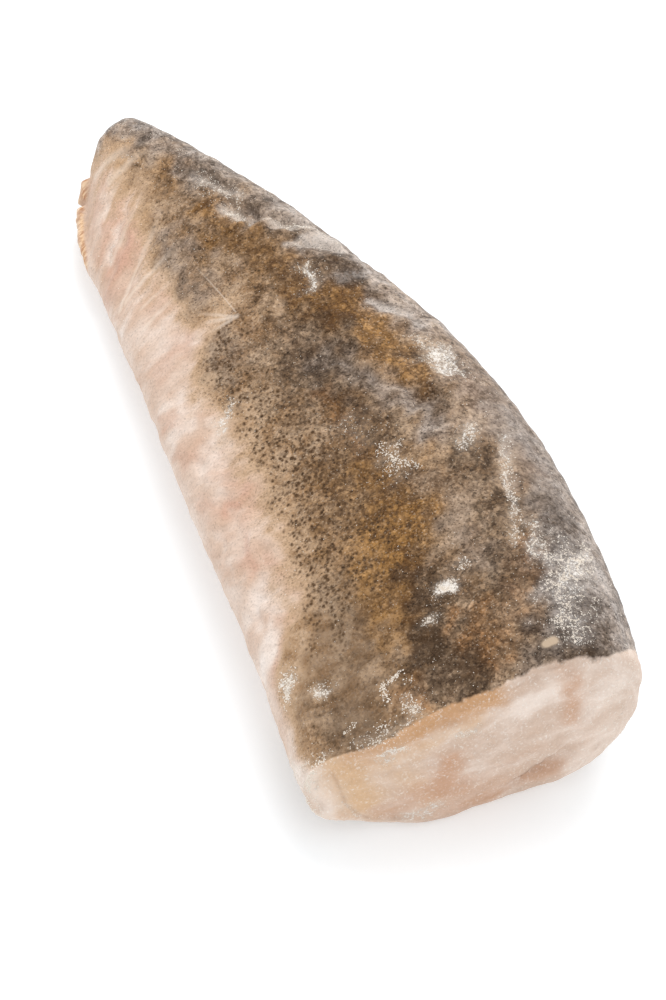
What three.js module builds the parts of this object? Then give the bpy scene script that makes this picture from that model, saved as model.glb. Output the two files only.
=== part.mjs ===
// A frozen hake trunk: the fish without head, guts and tail fin, lying on its flank as one stiff piece.
// Millimetres, +Z up. The cut at the head end faces -Y and the trimmed tail points along +Y.
// The thin belly side is on -X and the thick back is on +X. The underside is flat where the fish froze
// against a tray, and the origin is the middle of the footprint on that flat underside.
import * as THREE from "three";
import { ParametricGeometry } from "three/addons/geometries/ParametricGeometry.js";
import { mergeVertices } from "three/addons/utils/BufferGeometryUtils.js";

// Plan: how far the belly and the back reach to each side of the line from the cut to the tail
const TRUNK_LENGTH = 277.9;
const BELLY_REACH_AT_CUT = 58.7;
const BELLY_REACH_AT_TAIL = 31.6;
const BACK_REACH_AT_CUT = 32.1;
const BACK_REACH_AT_TAIL = -1.3;
const BACK_HUMP = 32.5;
const BACK_HUMP_POWER = 0.925;

// Height of the crown, and how much higher the back stands than the belly
const CUT_HEIGHT = 52.6;
const TAIL_HEIGHT = 23.8;
const HEIGHT_TAPER_POWER = 1.446;
const BACK_RISE = 0.292;

// Cross-section: a crown that is squarer over the belly than over the back, above a flat underside
const BELLY_WAIST = 0.549;
const BACK_WAIST = 0.536;
const BELLY_CROWN_POWER = 2.8;
const BACK_CROWN_POWER = 2.35;
const UNDERSIDE_WIDTH_POWER = 1.78;
const UNDERSIDE_HEIGHT_POWER = 2.38;
const UNDERSIDE_FLATTENING = 0.06;

// Slow swell and sink of the skin over the trunk
const SWELL_DEPTH = 0.45;
const SWELL_WAVES_ALONG = 5.2;
const SWELL_WAVES_AROUND = 2;
const RIPPLE_DEPTH = 0.25;
const RIPPLE_WAVES_ALONG = 9.4;
const RIPPLE_WAVES_AROUND = 3;

// Cut face: slanted across and leaning, with a rim that is rounded most below the back
const CUT_SLANT = -0.181;
const CUT_LEAN = 0.029;
const RIM_ROUND_ABOVE = 2;
const RIM_ROUND_BELOW_BELLY = 3;
const RIM_ROUND_BELOW_BACK = 8;
const CUT_BULGE = 2.4;
const CUT_HEART_HEIGHT = 0.5;

// Places round the rim, in degrees, where the cut wandered back from an even plane or stood proud of it
const RIM_SWINGS = [
  { at: 44, spread: 7, back: 0.8 },
  { at: 66, spread: 7, back: 1.3 },
  { at: 88, spread: 6, back: -1.2 },
  { at: 118, spread: 9, back: -2.3 },
  { at: 162, spread: 17, back: 3.8 },
  { at: 219, spread: 8, back: 1.2 },
  { at: 251, spread: 10, back: -1.1 },
  { at: 292, spread: 9, back: 1.6 },
  { at: 316, spread: 9, back: -0.8 },
];
const RIM_SWING_REACH = 14;
const RIM_SWING_SHARE_POWER = 5;

// Hollow at the lower edge of the cut, under the overhanging lobe of the flank
const HOLLOW_SIDE = 4;
const HOLLOW_HEIGHT = 8;
const HOLLOW_HALF_WIDTH = 6;
const HOLLOW_HALF_HEIGHT = 6;
const HOLLOW_DEPTH = 4;

// Curved seam between the muscle blocks on the cut face
const SEAM_START_SIDE = -18;
const SEAM_END_SIDE = 12;
const SEAM_LOW_HEIGHT = 20;
const SEAM_RISE = 12;
const SEAM_HALF_WIDTH = 2.2;
const SEAM_DEPTH = 1.1;

// Tail: an oblique end drawn in over the last part of the trunk
const TAIL_SLANT = 1.615;
const TAIL_ROUND_SHARE = 0.06;
const TAIL_DRAW_IN = 0.9;
const HEART_HEIGHT = 0.45;
const TAIL_FLATTENING = 0.75;
const TAIL_END_BULGE = 1.2;

// Dried stubs of fin left on the belly corner of the tail end: place, spread and reach of each
const FIN_STUBS = [
  { along: 0.998, angle: Math.PI * 0.86, spread: 5, reach: 3.6 },
  { along: 0.977, angle: Math.PI * 0.95, spread: 7.4, reach: 3.6 },
  { along: 0.945, angle: Math.PI, spread: 9, reach: 1.3 },
];
const FIN_STUB_DIRECTION = new THREE.Vector3(-0.9, 0.43, 0).normalize();

// Mesh
const SLICES = 64;
const CUT_RINGS = 12;
const TRUNK_RINGS = 68;
const TAIL_RINGS = 4;
const RING_CROWDING = 0.115;
const WELD_DISTANCE = 0.001;

const mix = THREE.MathUtils.lerp;

function signedPower(value, power) {
  return Math.sign(value) * Math.abs(value) ** power;
}

// A bell of height one that fades to nothing at a few times its spread
function bell(distance, spread) {
  return Math.exp(-0.5 * (distance / spread) ** 2);
}

// A knob of height one with a flat top and steep sides
function knob(distance, spread) {
  return Math.exp(-((distance / spread) ** 4));
}

// How far a rounded edge draws the section in, at a given gap behind the end face
function edgeInset(gap, radius) {
  const depth = Math.max(0, 1 - gap / radius);
  return radius * (1 - Math.sqrt(1 - depth * depth));
}

// Swell of the skin, faded out towards the underside so that the resting face stays flat
function skinSwell(along, angle) {
  const swell = Math.sin(SWELL_WAVES_ALONG * along * Math.PI + SWELL_WAVES_AROUND * angle);
  const ripple = Math.sin(RIPPLE_WAVES_ALONG * along * Math.PI - RIPPLE_WAVES_AROUND * angle);
  const upperSide = (0.5 + 0.5 * Math.sin(angle)) * Math.sin(Math.PI * along);
  return upperSide * (SWELL_DEPTH * swell + RIPPLE_DEPTH * ripple);
}

// How far the rim stands back from an even cut at an angle round the section
function rimSwing(angle) {
  const degrees = THREE.MathUtils.radToDeg(angle);
  let back = 0;
  for (const swing of RIM_SWINGS) {
    const turn = THREE.MathUtils.euclideanModulo(degrees - swing.at + 180, 360) - 180;
    back += swing.back * bell(turn, swing.spread);
  }
  return back;
}

// The section at one place along the trunk: its middle line, half width and height
function sectionAt(along) {
  const belly = -mix(BELLY_REACH_AT_CUT, BELLY_REACH_AT_TAIL, along);
  const hump = BACK_HUMP * Math.sin(Math.PI * along ** BACK_HUMP_POWER);
  const back = mix(BACK_REACH_AT_CUT, BACK_REACH_AT_TAIL, along) + hump;
  return {
    middle: (belly + back) / 2,
    halfWidth: (back - belly) / 2,
    height: mix(CUT_HEIGHT, TAIL_HEIGHT, along ** HEIGHT_TAPER_POWER),
  };
}

// Place on the section outline: side runs from -1 at the belly to 1 at the back, level from 0 to 1
function outlineAt(angle) {
  const sine = Math.sin(angle);
  const cosine = Math.cos(angle);
  const bellyShare = Math.max(0, -cosine) ** 2;
  const crownPower = mix(BACK_CROWN_POWER, BELLY_CROWN_POWER, bellyShare);
  const side = signedPower(cosine, 2 / (sine > 0 ? crownPower : UNDERSIDE_WIDTH_POWER));
  const waist = mix(BELLY_WAIST, BACK_WAIST, (1 + side) / 2);
  if (sine > 0) {
    return { side, level: waist + (1 - waist) * sine ** (2 / crownPower) };
  }
  const dip = (1 + UNDERSIDE_FLATTENING) * Math.abs(sine) ** (2 / UNDERSIDE_HEIGHT_POWER);
  return { side, level: Math.max(0, waist * (1 - dip)) };
}

// Radius of the rounded rim of the cut at an angle round the section
function rimRound(angle) {
  const below = mix(RIM_ROUND_BELOW_BELLY, RIM_ROUND_BELOW_BACK, (1 + Math.cos(angle)) / 2);
  return mix(below, RIM_ROUND_ABOVE, (1 + Math.sin(angle)) / 2);
}

// A point of the skin: a tilted, flat-based oval that tapers, rounds off at both ends and is sheared
function skinPoint(along, angle) {
  const { middle, halfWidth, height } = sectionAt(along);
  const { side, level } = outlineAt(angle);
  const tailShare = Math.max(0, 1 - (1 - along) / TAIL_ROUND_SHARE);
  const narrowing = Math.sqrt(1 - TAIL_DRAW_IN * tailShare * tailShare);
  const lowering = 1 - TAIL_FLATTENING + TAIL_FLATTENING * narrowing;
  const inset = edgeInset(along * TRUNK_LENGTH, rimRound(angle));
  const swell = skinSwell(along, angle);

  const across = side * narrowing * (halfWidth - inset + swell);
  const shrink = lowering * (1 - 2 * inset / height);
  const up = height * (HEART_HEIGHT + (level - HEART_HEIGHT) * shrink) * (1 + BACK_RISE * side);
  const z = Math.max(0, up + swell * Math.max(0, Math.sin(angle)));
  const rimFade = Math.max(0, 1 - along * TRUNK_LENGTH / RIM_SWING_REACH) ** 2;
  const cutShear = (1 - along) ** 3 * (CUT_SLANT * across + CUT_LEAN * z) + rimFade * rimSwing(angle);
  const tailShear = along ** 4 * TAIL_SLANT * across;
  return new THREE.Vector3(middle + across, along * TRUNK_LENGTH + cutShear + tailShear, z);
}

// How far the dried fin stubs push a point of the tail outwards
const stubCentres = FIN_STUBS.map((stub) => skinPoint(stub.along, stub.angle));

function pushByFinStubs(point) {
  let push = 0;
  FIN_STUBS.forEach((stub, index) => {
    push = Math.max(push, stub.reach * knob(point.distanceTo(stubCentres[index]), stub.spread));
  });
  return point.addScaledVector(FIN_STUB_DIRECTION, push);
}

// Depth of the cut face at a place on it: a bulge, less the hollow and the seam between the muscles
function cutFaceRelief(share, side, height) {
  const bulge = CUT_BULGE * (1 - share * share);
  const hollowAcross = bell(side - HOLLOW_SIDE, HOLLOW_HALF_WIDTH);
  const hollow = hollowAcross * bell(height - HOLLOW_HEIGHT, HOLLOW_HALF_HEIGHT);
  const seamShare = (side - SEAM_START_SIDE) / (SEAM_END_SIDE - SEAM_START_SIDE);
  const seamHeight = SEAM_LOW_HEIGHT + SEAM_RISE * seamShare * Math.abs(seamShare);
  const onSeam = seamShare > 0 && seamShare < 1 ? Math.sin(Math.PI * seamShare) : 0;
  const seam = onSeam * bell(height - seamHeight, SEAM_HALF_WIDTH);
  return bulge - (HOLLOW_DEPTH * hollow + SEAM_DEPTH * seam) * (1 - share ** 6);
}

// A point of the cut face, between its heart and the rim
function cutFacePoint(share, angle) {
  const { middle, height } = sectionAt(0);
  const heartZ = height * CUT_HEART_HEIGHT;
  const heart = new THREE.Vector3(middle, CUT_LEAN * heartZ, heartZ);
  const point = heart.lerp(skinPoint(0, angle), share);
  point.y += rimSwing(angle) * (share ** RIM_SWING_SHARE_POWER - share);
  point.y -= cutFaceRelief(share, point.x, point.z);
  return point;
}

// A point of the tail end, between the rim and its heart
function tailEndPoint(share, angle) {
  const { middle, height } = sectionAt(1);
  const heart = new THREE.Vector3(middle, TRUNK_LENGTH, height * HEART_HEIGHT);
  const point = heart.lerp(skinPoint(1, angle), share);
  return point.addScaledVector(FIN_STUB_DIRECTION, TAIL_END_BULGE * (1 - share * share));
}

// The whole closed skin: rings over the cut face, along the trunk, and over the tail end
function trunkSurface(turn, share, target) {
  const angle = -2 * Math.PI * turn;
  const ring = share * (CUT_RINGS + TRUNK_RINGS + TAIL_RINGS);
  const trunkRing = ring - CUT_RINGS;
  if (trunkRing < 0) {
    target.copy(cutFacePoint(ring / CUT_RINGS, angle));
  } else if (trunkRing <= TRUNK_RINGS) {
    const even = trunkRing / TRUNK_RINGS;
    const along = even - RING_CROWDING * Math.sin(2 * Math.PI * even);
    target.copy(pushByFinStubs(skinPoint(along, angle)));
  } else {
    const end = Math.max(0, 1 - (trunkRing - TRUNK_RINGS) / TAIL_RINGS);
    target.copy(pushByFinStubs(tailEndPoint(end, angle)));
  }
}

// Joins the seam and the two poles, and leaves out the triangles that collapse there
function weld(geometry) {
  geometry.deleteAttribute("normal");
  geometry.deleteAttribute("uv");
  const welded = mergeVertices(geometry, WELD_DISTANCE);
  const corners = welded.index.array;
  const kept = [];
  for (let first = 0; first < corners.length; first += 3) {
    const [a, b, c] = corners.slice(first, first + 3);
    if (a !== b && b !== c && c !== a) {
      kept.push(a, b, c);
    }
  }
  welded.setIndex(kept);
  return welded;
}

// Puts the middle of the footprint at the origin
function centreFootprint(geometry) {
  geometry.computeBoundingBox();
  const centre = geometry.boundingBox.getCenter(new THREE.Vector3());
  geometry.translate(-centre.x, -centre.y, -geometry.boundingBox.min.z);
  geometry.computeVertexNormals();
  return geometry;
}

const rings = CUT_RINGS + TRUNK_RINGS + TAIL_RINGS;
const trunkGeometry = centreFootprint(weld(new ParametricGeometry(trunkSurface, SLICES, rings)));
const skin = new THREE.MeshStandardMaterial({ color: 0x8c7a68, roughness: 0.55, metalness: 0 });

const trunk = new THREE.Mesh(trunkGeometry, skin);
trunk.name = "hake_trunk";

const hake = new THREE.Group();
hake.name = "frozen_hake";
hake.add(trunk);

export default hake;
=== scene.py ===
"""Frozen hake trunk: skin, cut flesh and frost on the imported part.

The fish lies on its flank. Its belly is on the left, its back on the right, the
cut at the near end and the tail at the far end. Places on the skin are given by
a share of the length (0 at the cut, 1 at the tail) and by degrees round the body
(0 at the back, 90 at the crown, 180 at the belly, below 0 under the back). Sizes
of the fish are in millimetres; meshes are written in metres.
"""

import logging
import math
from dataclasses import dataclass, field, replace
from enum import Enum
from typing import Any

import bpy
import numpy as np
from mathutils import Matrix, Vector


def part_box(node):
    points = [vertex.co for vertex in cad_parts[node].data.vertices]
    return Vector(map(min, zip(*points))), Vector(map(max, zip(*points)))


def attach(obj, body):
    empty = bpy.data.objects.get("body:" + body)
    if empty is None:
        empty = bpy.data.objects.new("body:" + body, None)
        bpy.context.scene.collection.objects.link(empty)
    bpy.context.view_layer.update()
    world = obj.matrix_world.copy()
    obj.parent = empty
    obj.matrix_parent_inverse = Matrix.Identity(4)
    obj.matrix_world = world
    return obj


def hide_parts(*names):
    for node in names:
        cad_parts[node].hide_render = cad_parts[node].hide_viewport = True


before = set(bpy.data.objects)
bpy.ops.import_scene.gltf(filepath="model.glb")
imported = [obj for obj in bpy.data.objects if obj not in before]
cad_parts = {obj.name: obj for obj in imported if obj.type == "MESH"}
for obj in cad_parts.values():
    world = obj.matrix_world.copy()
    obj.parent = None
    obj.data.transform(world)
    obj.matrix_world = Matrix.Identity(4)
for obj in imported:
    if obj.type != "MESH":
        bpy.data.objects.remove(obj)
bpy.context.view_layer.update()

LOG = logging.getLogger("hake")
MILLIMETRE = 0.001
NEARLY_NOTHING = 1e-9
BODY = "root"
CAD_NODE = "hake_trunk"

# The plan is the mesh's own map of the unrolled skin: its name, its share of a
# millimetre, and how far aside the cut lies on it so that no line is on both.
PLAN_MAP = "plan"
PLAN_UNIT = 0.01
CUT_PLAN_SHIFT = 400.0

Socket = bpy.types.NodeSocket
Colour = tuple[float, float, float]
Triple = tuple[float, float, float]
Pair = tuple[float, float]
Place = tuple[float, float]
Value = Socket | float | Triple
Row = tuple[Place, Place, float] | tuple[Place, Place, float, float]
Spots = tuple[np.ndarray, np.ndarray, np.ndarray]


class Ground(Enum):
    """What a pattern is laid on: the object's own axes or the unrolled skin."""

    OBJECT = "Object"
    PLAN = "UV"


class Step(Enum):
    """A step of arithmetic on numbers or on vectors."""

    ADD = "ADD"
    SUBTRACT = "SUBTRACT"
    MULTIPLY = "MULTIPLY"
    MAXIMUM = "MAXIMUM"
    SCALE = "SCALE"
    DOT_PRODUCT = "DOT_PRODUCT"
    LENGTH = "LENGTH"


class Blend(Enum):
    """How a second colour is laid over a first one."""

    MIX = "MIX"
    MULTIPLY = "MULTIPLY"


class Mask(Enum):
    """Numbers that the trunk's mesh stores for its finish."""

    RIM_GAP = "rim_gap"
    BELLY = "belly"
    STUB = "stub"
    STUB_TIP = "stub_tip"
    OCHRE = "ochre"
    RUST = "rust"
    COOL = "cool"
    PINK = "pink"
    WHITE = "white"
    DOTS = "dots"
    NETWORK = "network"
    DARK = "dark"
    CRISP = "crisp"
    # Pale bloom, and painted sheen on the fold ridges and the back's edge.
    BLOOM_AND_SHEEN = "bloom_and_sheen"
    STREAKY = "streaky"
    ORANGE = "orange"
    # White patches of the belly, and painted light toward its outer edge.
    CREAM = "cream"
    # Pink patches of the flesh, and painted shade low on the cut and under the step.
    BLUSH_AND_SHADE = "blush_and_shade"
    PALE = "pale"
    FROST = "frost"


def linear(level: int) -> float:
    """Linear share of light of a screen level given from 0 to 255."""
    share = level / 255.0
    return share / 12.92 if share < 0.04045 else ((share + 0.055) / 1.055) ** 2.4


def paint(red: int, green: int, blue: int) -> Colour:
    """Linear colour of a screen colour given from 0 to 255."""
    return linear(red), linear(green), linear(blue)


def bell(distance: np.ndarray, spread: float) -> np.ndarray:
    """Bell curve of height one."""
    return np.exp(-0.5 * (distance / spread) ** 2)


def knob(distance: np.ndarray, spread: float) -> np.ndarray:
    """Flat-topped bump of height one."""
    return np.exp(-((distance / spread) ** 4))


def ease(value: np.ndarray, low: float, high: float) -> np.ndarray:
    """Smooth step from 0 at low to 1 at high; low may be the larger one."""
    share = np.clip((value - low) / (high - low), 0.0, 1.0)
    return share * share * (3.0 - 2.0 * share)


def signed_power(value: np.ndarray, power: np.ndarray | float) -> np.ndarray:
    """Power of the size of a number, with the number's sign."""
    return np.sign(value) * np.abs(value) ** power


def half_turn(degrees: np.ndarray) -> np.ndarray:
    """Degrees brought between -180 and 180."""
    return (degrees + 180.0) % 360.0 - 180.0


def slant_wave(waves: Pair, along: np.ndarray, angle: np.ndarray) -> np.ndarray:
    """Sine wave of a number of half waves along the fish and of waves round it."""
    return np.sin(waves[0] * np.pi * along + waves[1] * angle)


def unset() -> Any:
    """A dataclass field that the build fills in."""
    return field(init=False, repr=False)


def put_in_scene(mesh: bpy.types.Mesh, finish: bpy.types.Material) -> bpy.types.Object:
    """Dresses a mesh and puts it into the scene as a piece of the same name.

    Args:
        mesh: the finished mesh.
        finish: its material.

    Returns:
        The piece.
    """
    mesh.materials.append(finish)
    piece = bpy.data.objects.new(mesh.name, mesh)
    bpy.context.scene.collection.objects.link(piece)
    return piece


@dataclass(frozen=True)
class Ripples:
    """A smooth random field: many plane waves of about one length, summed.

    Attributes:
        length: length of the waves, in millimetres.
        seed: start of the random directions and phases.
        height: usual height of the field.
        waves: how many waves are summed.
    """

    length: float
    seed: int
    height: float = 1.0
    waves: int = 28

    def at(self, places: np.ndarray) -> np.ndarray:
        """Field at places.

        Args:
            places: points in millimetres, coordinates on the last axis.

        Returns:
            Heights, one a place.
        """
        rng = np.random.default_rng(self.seed)
        heading = rng.normal(size=(self.waves, places.shape[-1]))
        heading /= np.linalg.norm(heading, axis=1, keepdims=True)
        heading *= 2.0 * np.pi / (self.length * rng.uniform(0.7, 1.5, (self.waves, 1)))
        phase = rng.uniform(0.0, 2.0 * np.pi, self.waves)
        total = np.cos(places @ heading.T + phase).sum(-1)
        return self.height * (total / math.sqrt(self.waves / 2.0))


@dataclass(frozen=True)
class Swing:
    """Where the cut's rim lies behind the plane of the cut, and how far."""

    degrees: float
    spread: float
    back: float


@dataclass(frozen=True)
class FinStub:
    """A dried strip of fin on the tail's belly corner.

    Attributes:
        start: share of the length and degrees round where it begins.
        end: where it ends, given alike.
        spread: half width in millimetres.
        reach: how far it stands out at its start, in millimetres.
        taper: how far it stands out at its end, in millimetres.
    """

    start: Place
    end: Place
    spread: float
    reach: float
    taper: float


@dataclass(frozen=True)
class TrunkForm:
    """The form of the fish, in millimetres, before it is moved onto the frame.

    A tilted oval section, flat below, runs from the cut to the tail; its belly
    side is straight and its back side humped.
    """

    # Length, and how far the belly and the back lie from the middle line.
    length: float = 277.9
    belly_at_cut: float = 58.7
    belly_at_tail: float = 31.6
    back_at_cut: float = 32.1
    back_at_tail: float = -1.3
    hump: float = 32.5
    hump_power: float = 0.925
    # Height of the section, its fall toward the tail and its rise toward the back.
    cut_height: float = 52.6
    tail_height: float = 23.8
    taper_power: float = 1.446
    back_rise: float = 0.292
    # Curves of the section: height of its widest place, roundness above and below.
    belly_waist: float = 0.549
    back_waist: float = 0.536
    belly_crown_power: float = 2.8
    back_crown_power: float = 2.35
    under_width_power: float = 1.78
    under_height_power: float = 2.38
    under_flattening: float = 0.06
    heart_height: float = 0.45
    # Two low waves of the flank: height, half waves along and waves round.
    swell: float = 0.45
    swell_waves: Pair = (5.2, 2.0)
    ripple: float = 0.25
    ripple_waves: Pair = (9.4, -3.0)
    # The cut: its slant, the rounding of its rim and the bulge of its flesh.
    cut_slant: float = -0.181
    cut_lean: float = 0.029
    cut_heart_height: float = 0.5
    cut_bulge: float = 2.4
    rim_round_above: float = 2.0
    rim_round_belly: float = 3.0
    rim_round_back: float = 8.0
    swing_reach: float = 14.0
    # The seam across the flesh of the cut.
    seam_start: float = -18.0
    seam_end: float = 12.0
    seam_low: float = 20.0
    seam_lift: float = 12.0
    seam_width: float = 1.6
    seam_depth: float = 0.4
    # The step in the flesh: its lip runs along the heading, its floor lies below it.
    step_place: Place = (-4.6, 12.9)
    step_heading: Pair = (0.8, 0.6)
    step_depth: float = 4.6
    step_lip: Pair = (-0.4, 0.9)
    step_floor_end: Pair = (12.0, 3.0)
    step_start: Pair = (-5.0, 1.0)
    step_end: Pair = (22.0, 10.0)
    # The tail's end: its slant, how it draws in and how its face bulges.
    tail_slant: float = 1.615
    tail_round_share: float = 0.06
    tail_draw_in: float = 0.9
    tail_flattening: float = 0.75
    tail_bulge: float = 1.2
    # Fin stubs and the swollen belly corner of the cut.
    stub_heading: Pair = (-0.9, 0.43)
    stub_knobs: int = 9
    corner_place: Triple = (-58.0, 23.0, 12.0)
    corner_spread: float = 14.0
    corner_push: Triple = (-1.9, -0.2, 0.0)
    swings: tuple[Swing, ...] = (
        Swing(44, 7, 0.8),
        Swing(66, 7, 1.3),
        Swing(88, 6, -1.2),
        Swing(118, 9, -2.3),
        Swing(162, 17, 3.8),
        Swing(219, 8, 1.2),
        Swing(251, 10, -1.1),
        Swing(292, 9, 1.6),
        Swing(316, 9, -0.8),
    )
    stubs: tuple[FinStub, ...] = (
        FinStub((1.0, 116), (1.0, 162), 1.9, 3.2, 3.6),
        FinStub((0.996, 174), (0.966, 170), 2.2, 3.7, 2.8),
        FinStub((0.966, 170), (0.928, 178), 2.6, 2.4, 0.3),
    )

    def section(self, along: np.ndarray) -> tuple[np.ndarray, np.ndarray, np.ndarray]:
        """Sizes of the section: straight belly, back humped by half a sine wave.

        Args:
            along: shares of the length.

        Returns:
            Middle, half width and height at each share.
        """
        belly = -(self.belly_at_cut + (self.belly_at_tail - self.belly_at_cut) * along)
        back = self.back_at_cut + (self.back_at_tail - self.back_at_cut) * along
        back = back + self.hump * np.sin(np.pi * along**self.hump_power)
        drop = self.tail_height - self.cut_height
        height = self.cut_height + drop * along**self.taper_power
        return (belly + back) / 2.0, (back - belly) / 2.0, height

    def girth_radius(self, along: np.ndarray) -> np.ndarray:
        """Radius of the circle that is about as long round as the section."""
        _, half, height = self.section(along)
        return np.sqrt((half**2 + (height / 2.0) ** 2) / 2.0)

    def rounded_place(self, along: float, degrees: float) -> Place:
        """Millimetres along, and round from the crown, as if the sections were round."""
        around = math.radians(degrees - 90.0) * float(self.girth_radius(np.array(along)))
        return along * self.length, around

    def unrolled(self, along: float, degrees: float) -> Place:
        """Place on the unrolled skin, from the sum of short chords of the section.

        Args:
            along: share of the length.
            degrees: degrees round the body.

        Returns:
            Millimetres along, and round from the crown.
        """
        sweep = np.radians(np.linspace(90.0, degrees, 120))
        section = self.skin(np.array(along), sweep)[:, [0, 2]]
        round_it = np.linalg.norm(np.diff(section, axis=0), axis=1).sum()
        return along * self.length, math.copysign(float(round_it), degrees - 90.0)

    def outline(self, angle: np.ndarray) -> tuple[np.ndarray, np.ndarray]:
        """The section's curve: powers of sine and cosine above and below its waist.

        Args:
            angle: angles round the body, in radians.

        Returns:
            Side (-1 to 1) and level (0 to 1) at each angle.
        """
        sine, cosine = np.sin(angle), np.cos(angle)
        crown = self.belly_crown_power - self.back_crown_power
        power = self.back_crown_power + crown * np.maximum(0.0, -cosine) ** 2
        side = signed_power(cosine, 2.0 / np.where(sine > 0, power, self.under_width_power))
        waist = self.belly_waist + (self.back_waist - self.belly_waist) * (1.0 + side) / 2.0
        above = waist + (1.0 - waist) * np.maximum(sine, 0.0) ** (2.0 / power)
        dip = np.abs(sine) ** (2.0 / self.under_height_power)
        below = np.maximum(0.0, waist * (1.0 - (1.0 + self.under_flattening) * dip))
        return side, np.where(sine > 0, above, below)

    def rim_swing(self, angle: np.ndarray) -> np.ndarray:
        """How far the cut's rim lies behind the plane of the cut: a sum of bells.

        Args:
            angle: angles round the body, in radians.

        Returns:
            Millimetres at each angle.
        """
        degrees = np.degrees(angle)
        back = np.zeros_like(degrees)
        for swing in self.swings:
            gap = half_turn(degrees - swing.degrees)
            back = back + swing.back * bell(gap, swing.spread)
        return back

    def skin(self, along: np.ndarray, angle: np.ndarray) -> np.ndarray:
        """Points of the skin.

        Each point is the section's point, drawn in at the rounded rim of the cut
        and at the tail, swollen by two low waves, and sheared along the fish so
        that the cut and the tail end stand slantwise.

        Args:
            along: shares of the length.
            angle: angles round the body, in radians.

        Returns:
            Points with coordinates on the last axis.
        """
        along, angle = np.broadcast_arrays(along, angle)
        middle, half, height = self.section(along)
        side, level = self.outline(angle)
        sine, cosine = np.sin(angle), np.cos(angle)
        tail = np.maximum(0.0, 1.0 - (1.0 - along) / self.tail_round_share)
        narrow = np.sqrt(1.0 - self.tail_draw_in * tail * tail)
        low = 1.0 - self.tail_flattening + self.tail_flattening * narrow
        below = self.rim_round_belly
        below = below + (self.rim_round_back - self.rim_round_belly) * (1.0 + cosine) / 2.0
        radius = below + (self.rim_round_above - below) * (1.0 + sine) / 2.0
        near = np.maximum(0.0, 1.0 - along * self.length / radius)
        inset = radius * (1.0 - np.sqrt(1.0 - near * near))
        upper = (0.5 + 0.5 * sine) * np.sin(np.pi * along)
        swell = self.swell * slant_wave(self.swell_waves, along, angle)
        swell = swell + self.ripple * slant_wave(self.ripple_waves, along, angle)
        swell = swell * upper
        across = side * narrow * (half - inset + swell)
        lift = self.heart_height + (level - self.heart_height) * low * (1.0 - 2.0 * inset / height)
        z = height * lift * (1.0 + self.back_rise * side)
        z = np.maximum(0.0, z + swell * np.maximum(0.0, sine))
        fade = np.maximum(0.0, 1.0 - along * self.length / self.swing_reach) ** 2
        y = along * self.length + fade * self.rim_swing(angle)
        y = y + (1.0 - along) ** 3 * (self.cut_slant * across + self.cut_lean * z)
        y = y + along**4 * self.tail_slant * across
        return np.stack([middle + across, y, z], -1)

    def cut_face(self, share: np.ndarray, angle: np.ndarray) -> np.ndarray:
        """Points of the cut face: straight lines from its heart to the rim, bulged.

        The rim's swings die away with the fifth power of the share, and the seam
        and the step in the flesh die away close to the rim.

        Args:
            share: shares of the way from the heart to the rim.
            angle: angles round the body, in radians, of the same shape.

        Returns:
            Points with coordinates on the last axis.
        """
        zero = np.zeros(1)
        middle, _, height = self.section(zero)
        lift = self.cut_heart_height * height[0]
        heart = np.array([middle[0], self.cut_lean * lift, lift])
        rim = self.skin(zero, angle)
        points = heart + (rim - heart) * share[..., None]
        points[..., 1] += self.rim_swing(angle) * (share**5 - share)
        points[..., 1] -= self.cut_bulge * (1.0 - share**2)
        points[..., 1] += self.cut_depth(points) * (1.0 - share**6)
        return points

    def cut_depth(self, points: np.ndarray) -> np.ndarray:
        """Depth of the flesh's seam, a bell across a bent line, and of the step below it.

        Args:
            points: points of the cut face.

        Returns:
            Depths in millimetres.
        """
        across, up = points[..., 0], points[..., 2]
        run = (across - self.seam_start) / (self.seam_end - self.seam_start)
        line = self.seam_low + self.seam_lift * run * np.abs(run)
        inside = np.where((run > 0) & (run < 1), np.sin(np.pi * np.clip(run, 0, 1)), 0.0)
        seam = self.seam_depth * inside * bell(up - line, self.seam_width)
        right, over = across - self.step_place[0], up - self.step_place[1]
        below = right * self.step_heading[1] - over * self.step_heading[0]
        beside = right * self.step_heading[0] + over * self.step_heading[1]
        step = ease(below, *self.step_lip) * ease(below, *self.step_floor_end)
        step = step * ease(beside, *self.step_start) * ease(beside, *self.step_end)
        return seam + self.step_depth * step

    def tail_end(self, share: np.ndarray, angle: np.ndarray) -> np.ndarray:
        """Points of the tail's end: straight lines from its heart to its rim, bulged.

        Args:
            share: shares of the way from the heart to the rim.
            angle: angles round the body, in radians, of the same shape.

        Returns:
            Points with coordinates on the last axis.
        """
        one = np.ones(1)
        middle, _, height = self.section(one)
        heart = np.array([middle[0], self.length, self.heart_height * height[0]])
        rim = self.skin(one, angle)
        points = heart + (rim - heart) * share[..., None]
        out = np.array([-self.tail_slant, 1.0, 0.0])
        out /= np.linalg.norm(out)
        return points + out * (self.tail_bulge * (1.0 - share**2))[..., None]

    def corner_swell(self, points: np.ndarray) -> np.ndarray:
        """Push of the swollen belly corner of the cut, a bell round its middle."""
        gap = np.linalg.norm(points - np.array(self.corner_place), axis=-1, keepdims=True)
        return bell(gap, self.corner_spread) * np.array(self.corner_push)

    def stub_push(self, points: np.ndarray) -> np.ndarray:
        """Outward push of the fin stubs, each a row of knobs of which the highest counts.

        Args:
            points: points of the plain surface.

        Returns:
            Millimetres, one a point.
        """
        push = np.zeros(points.shape[:-1])
        for stub in self.stubs:
            for share in np.linspace(0.0, 1.0, self.stub_knobs):
                along, degrees = (a + (b - a) * share for a, b in zip(stub.start, stub.end))
                centre = self.skin(np.array(along), np.array(math.radians(degrees)))
                reach = stub.reach + (stub.taper - stub.reach) * share
                lump = knob(np.linalg.norm(points - centre, axis=-1), stub.spread)
                push = np.maximum(push, reach * lump)
        return push


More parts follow.
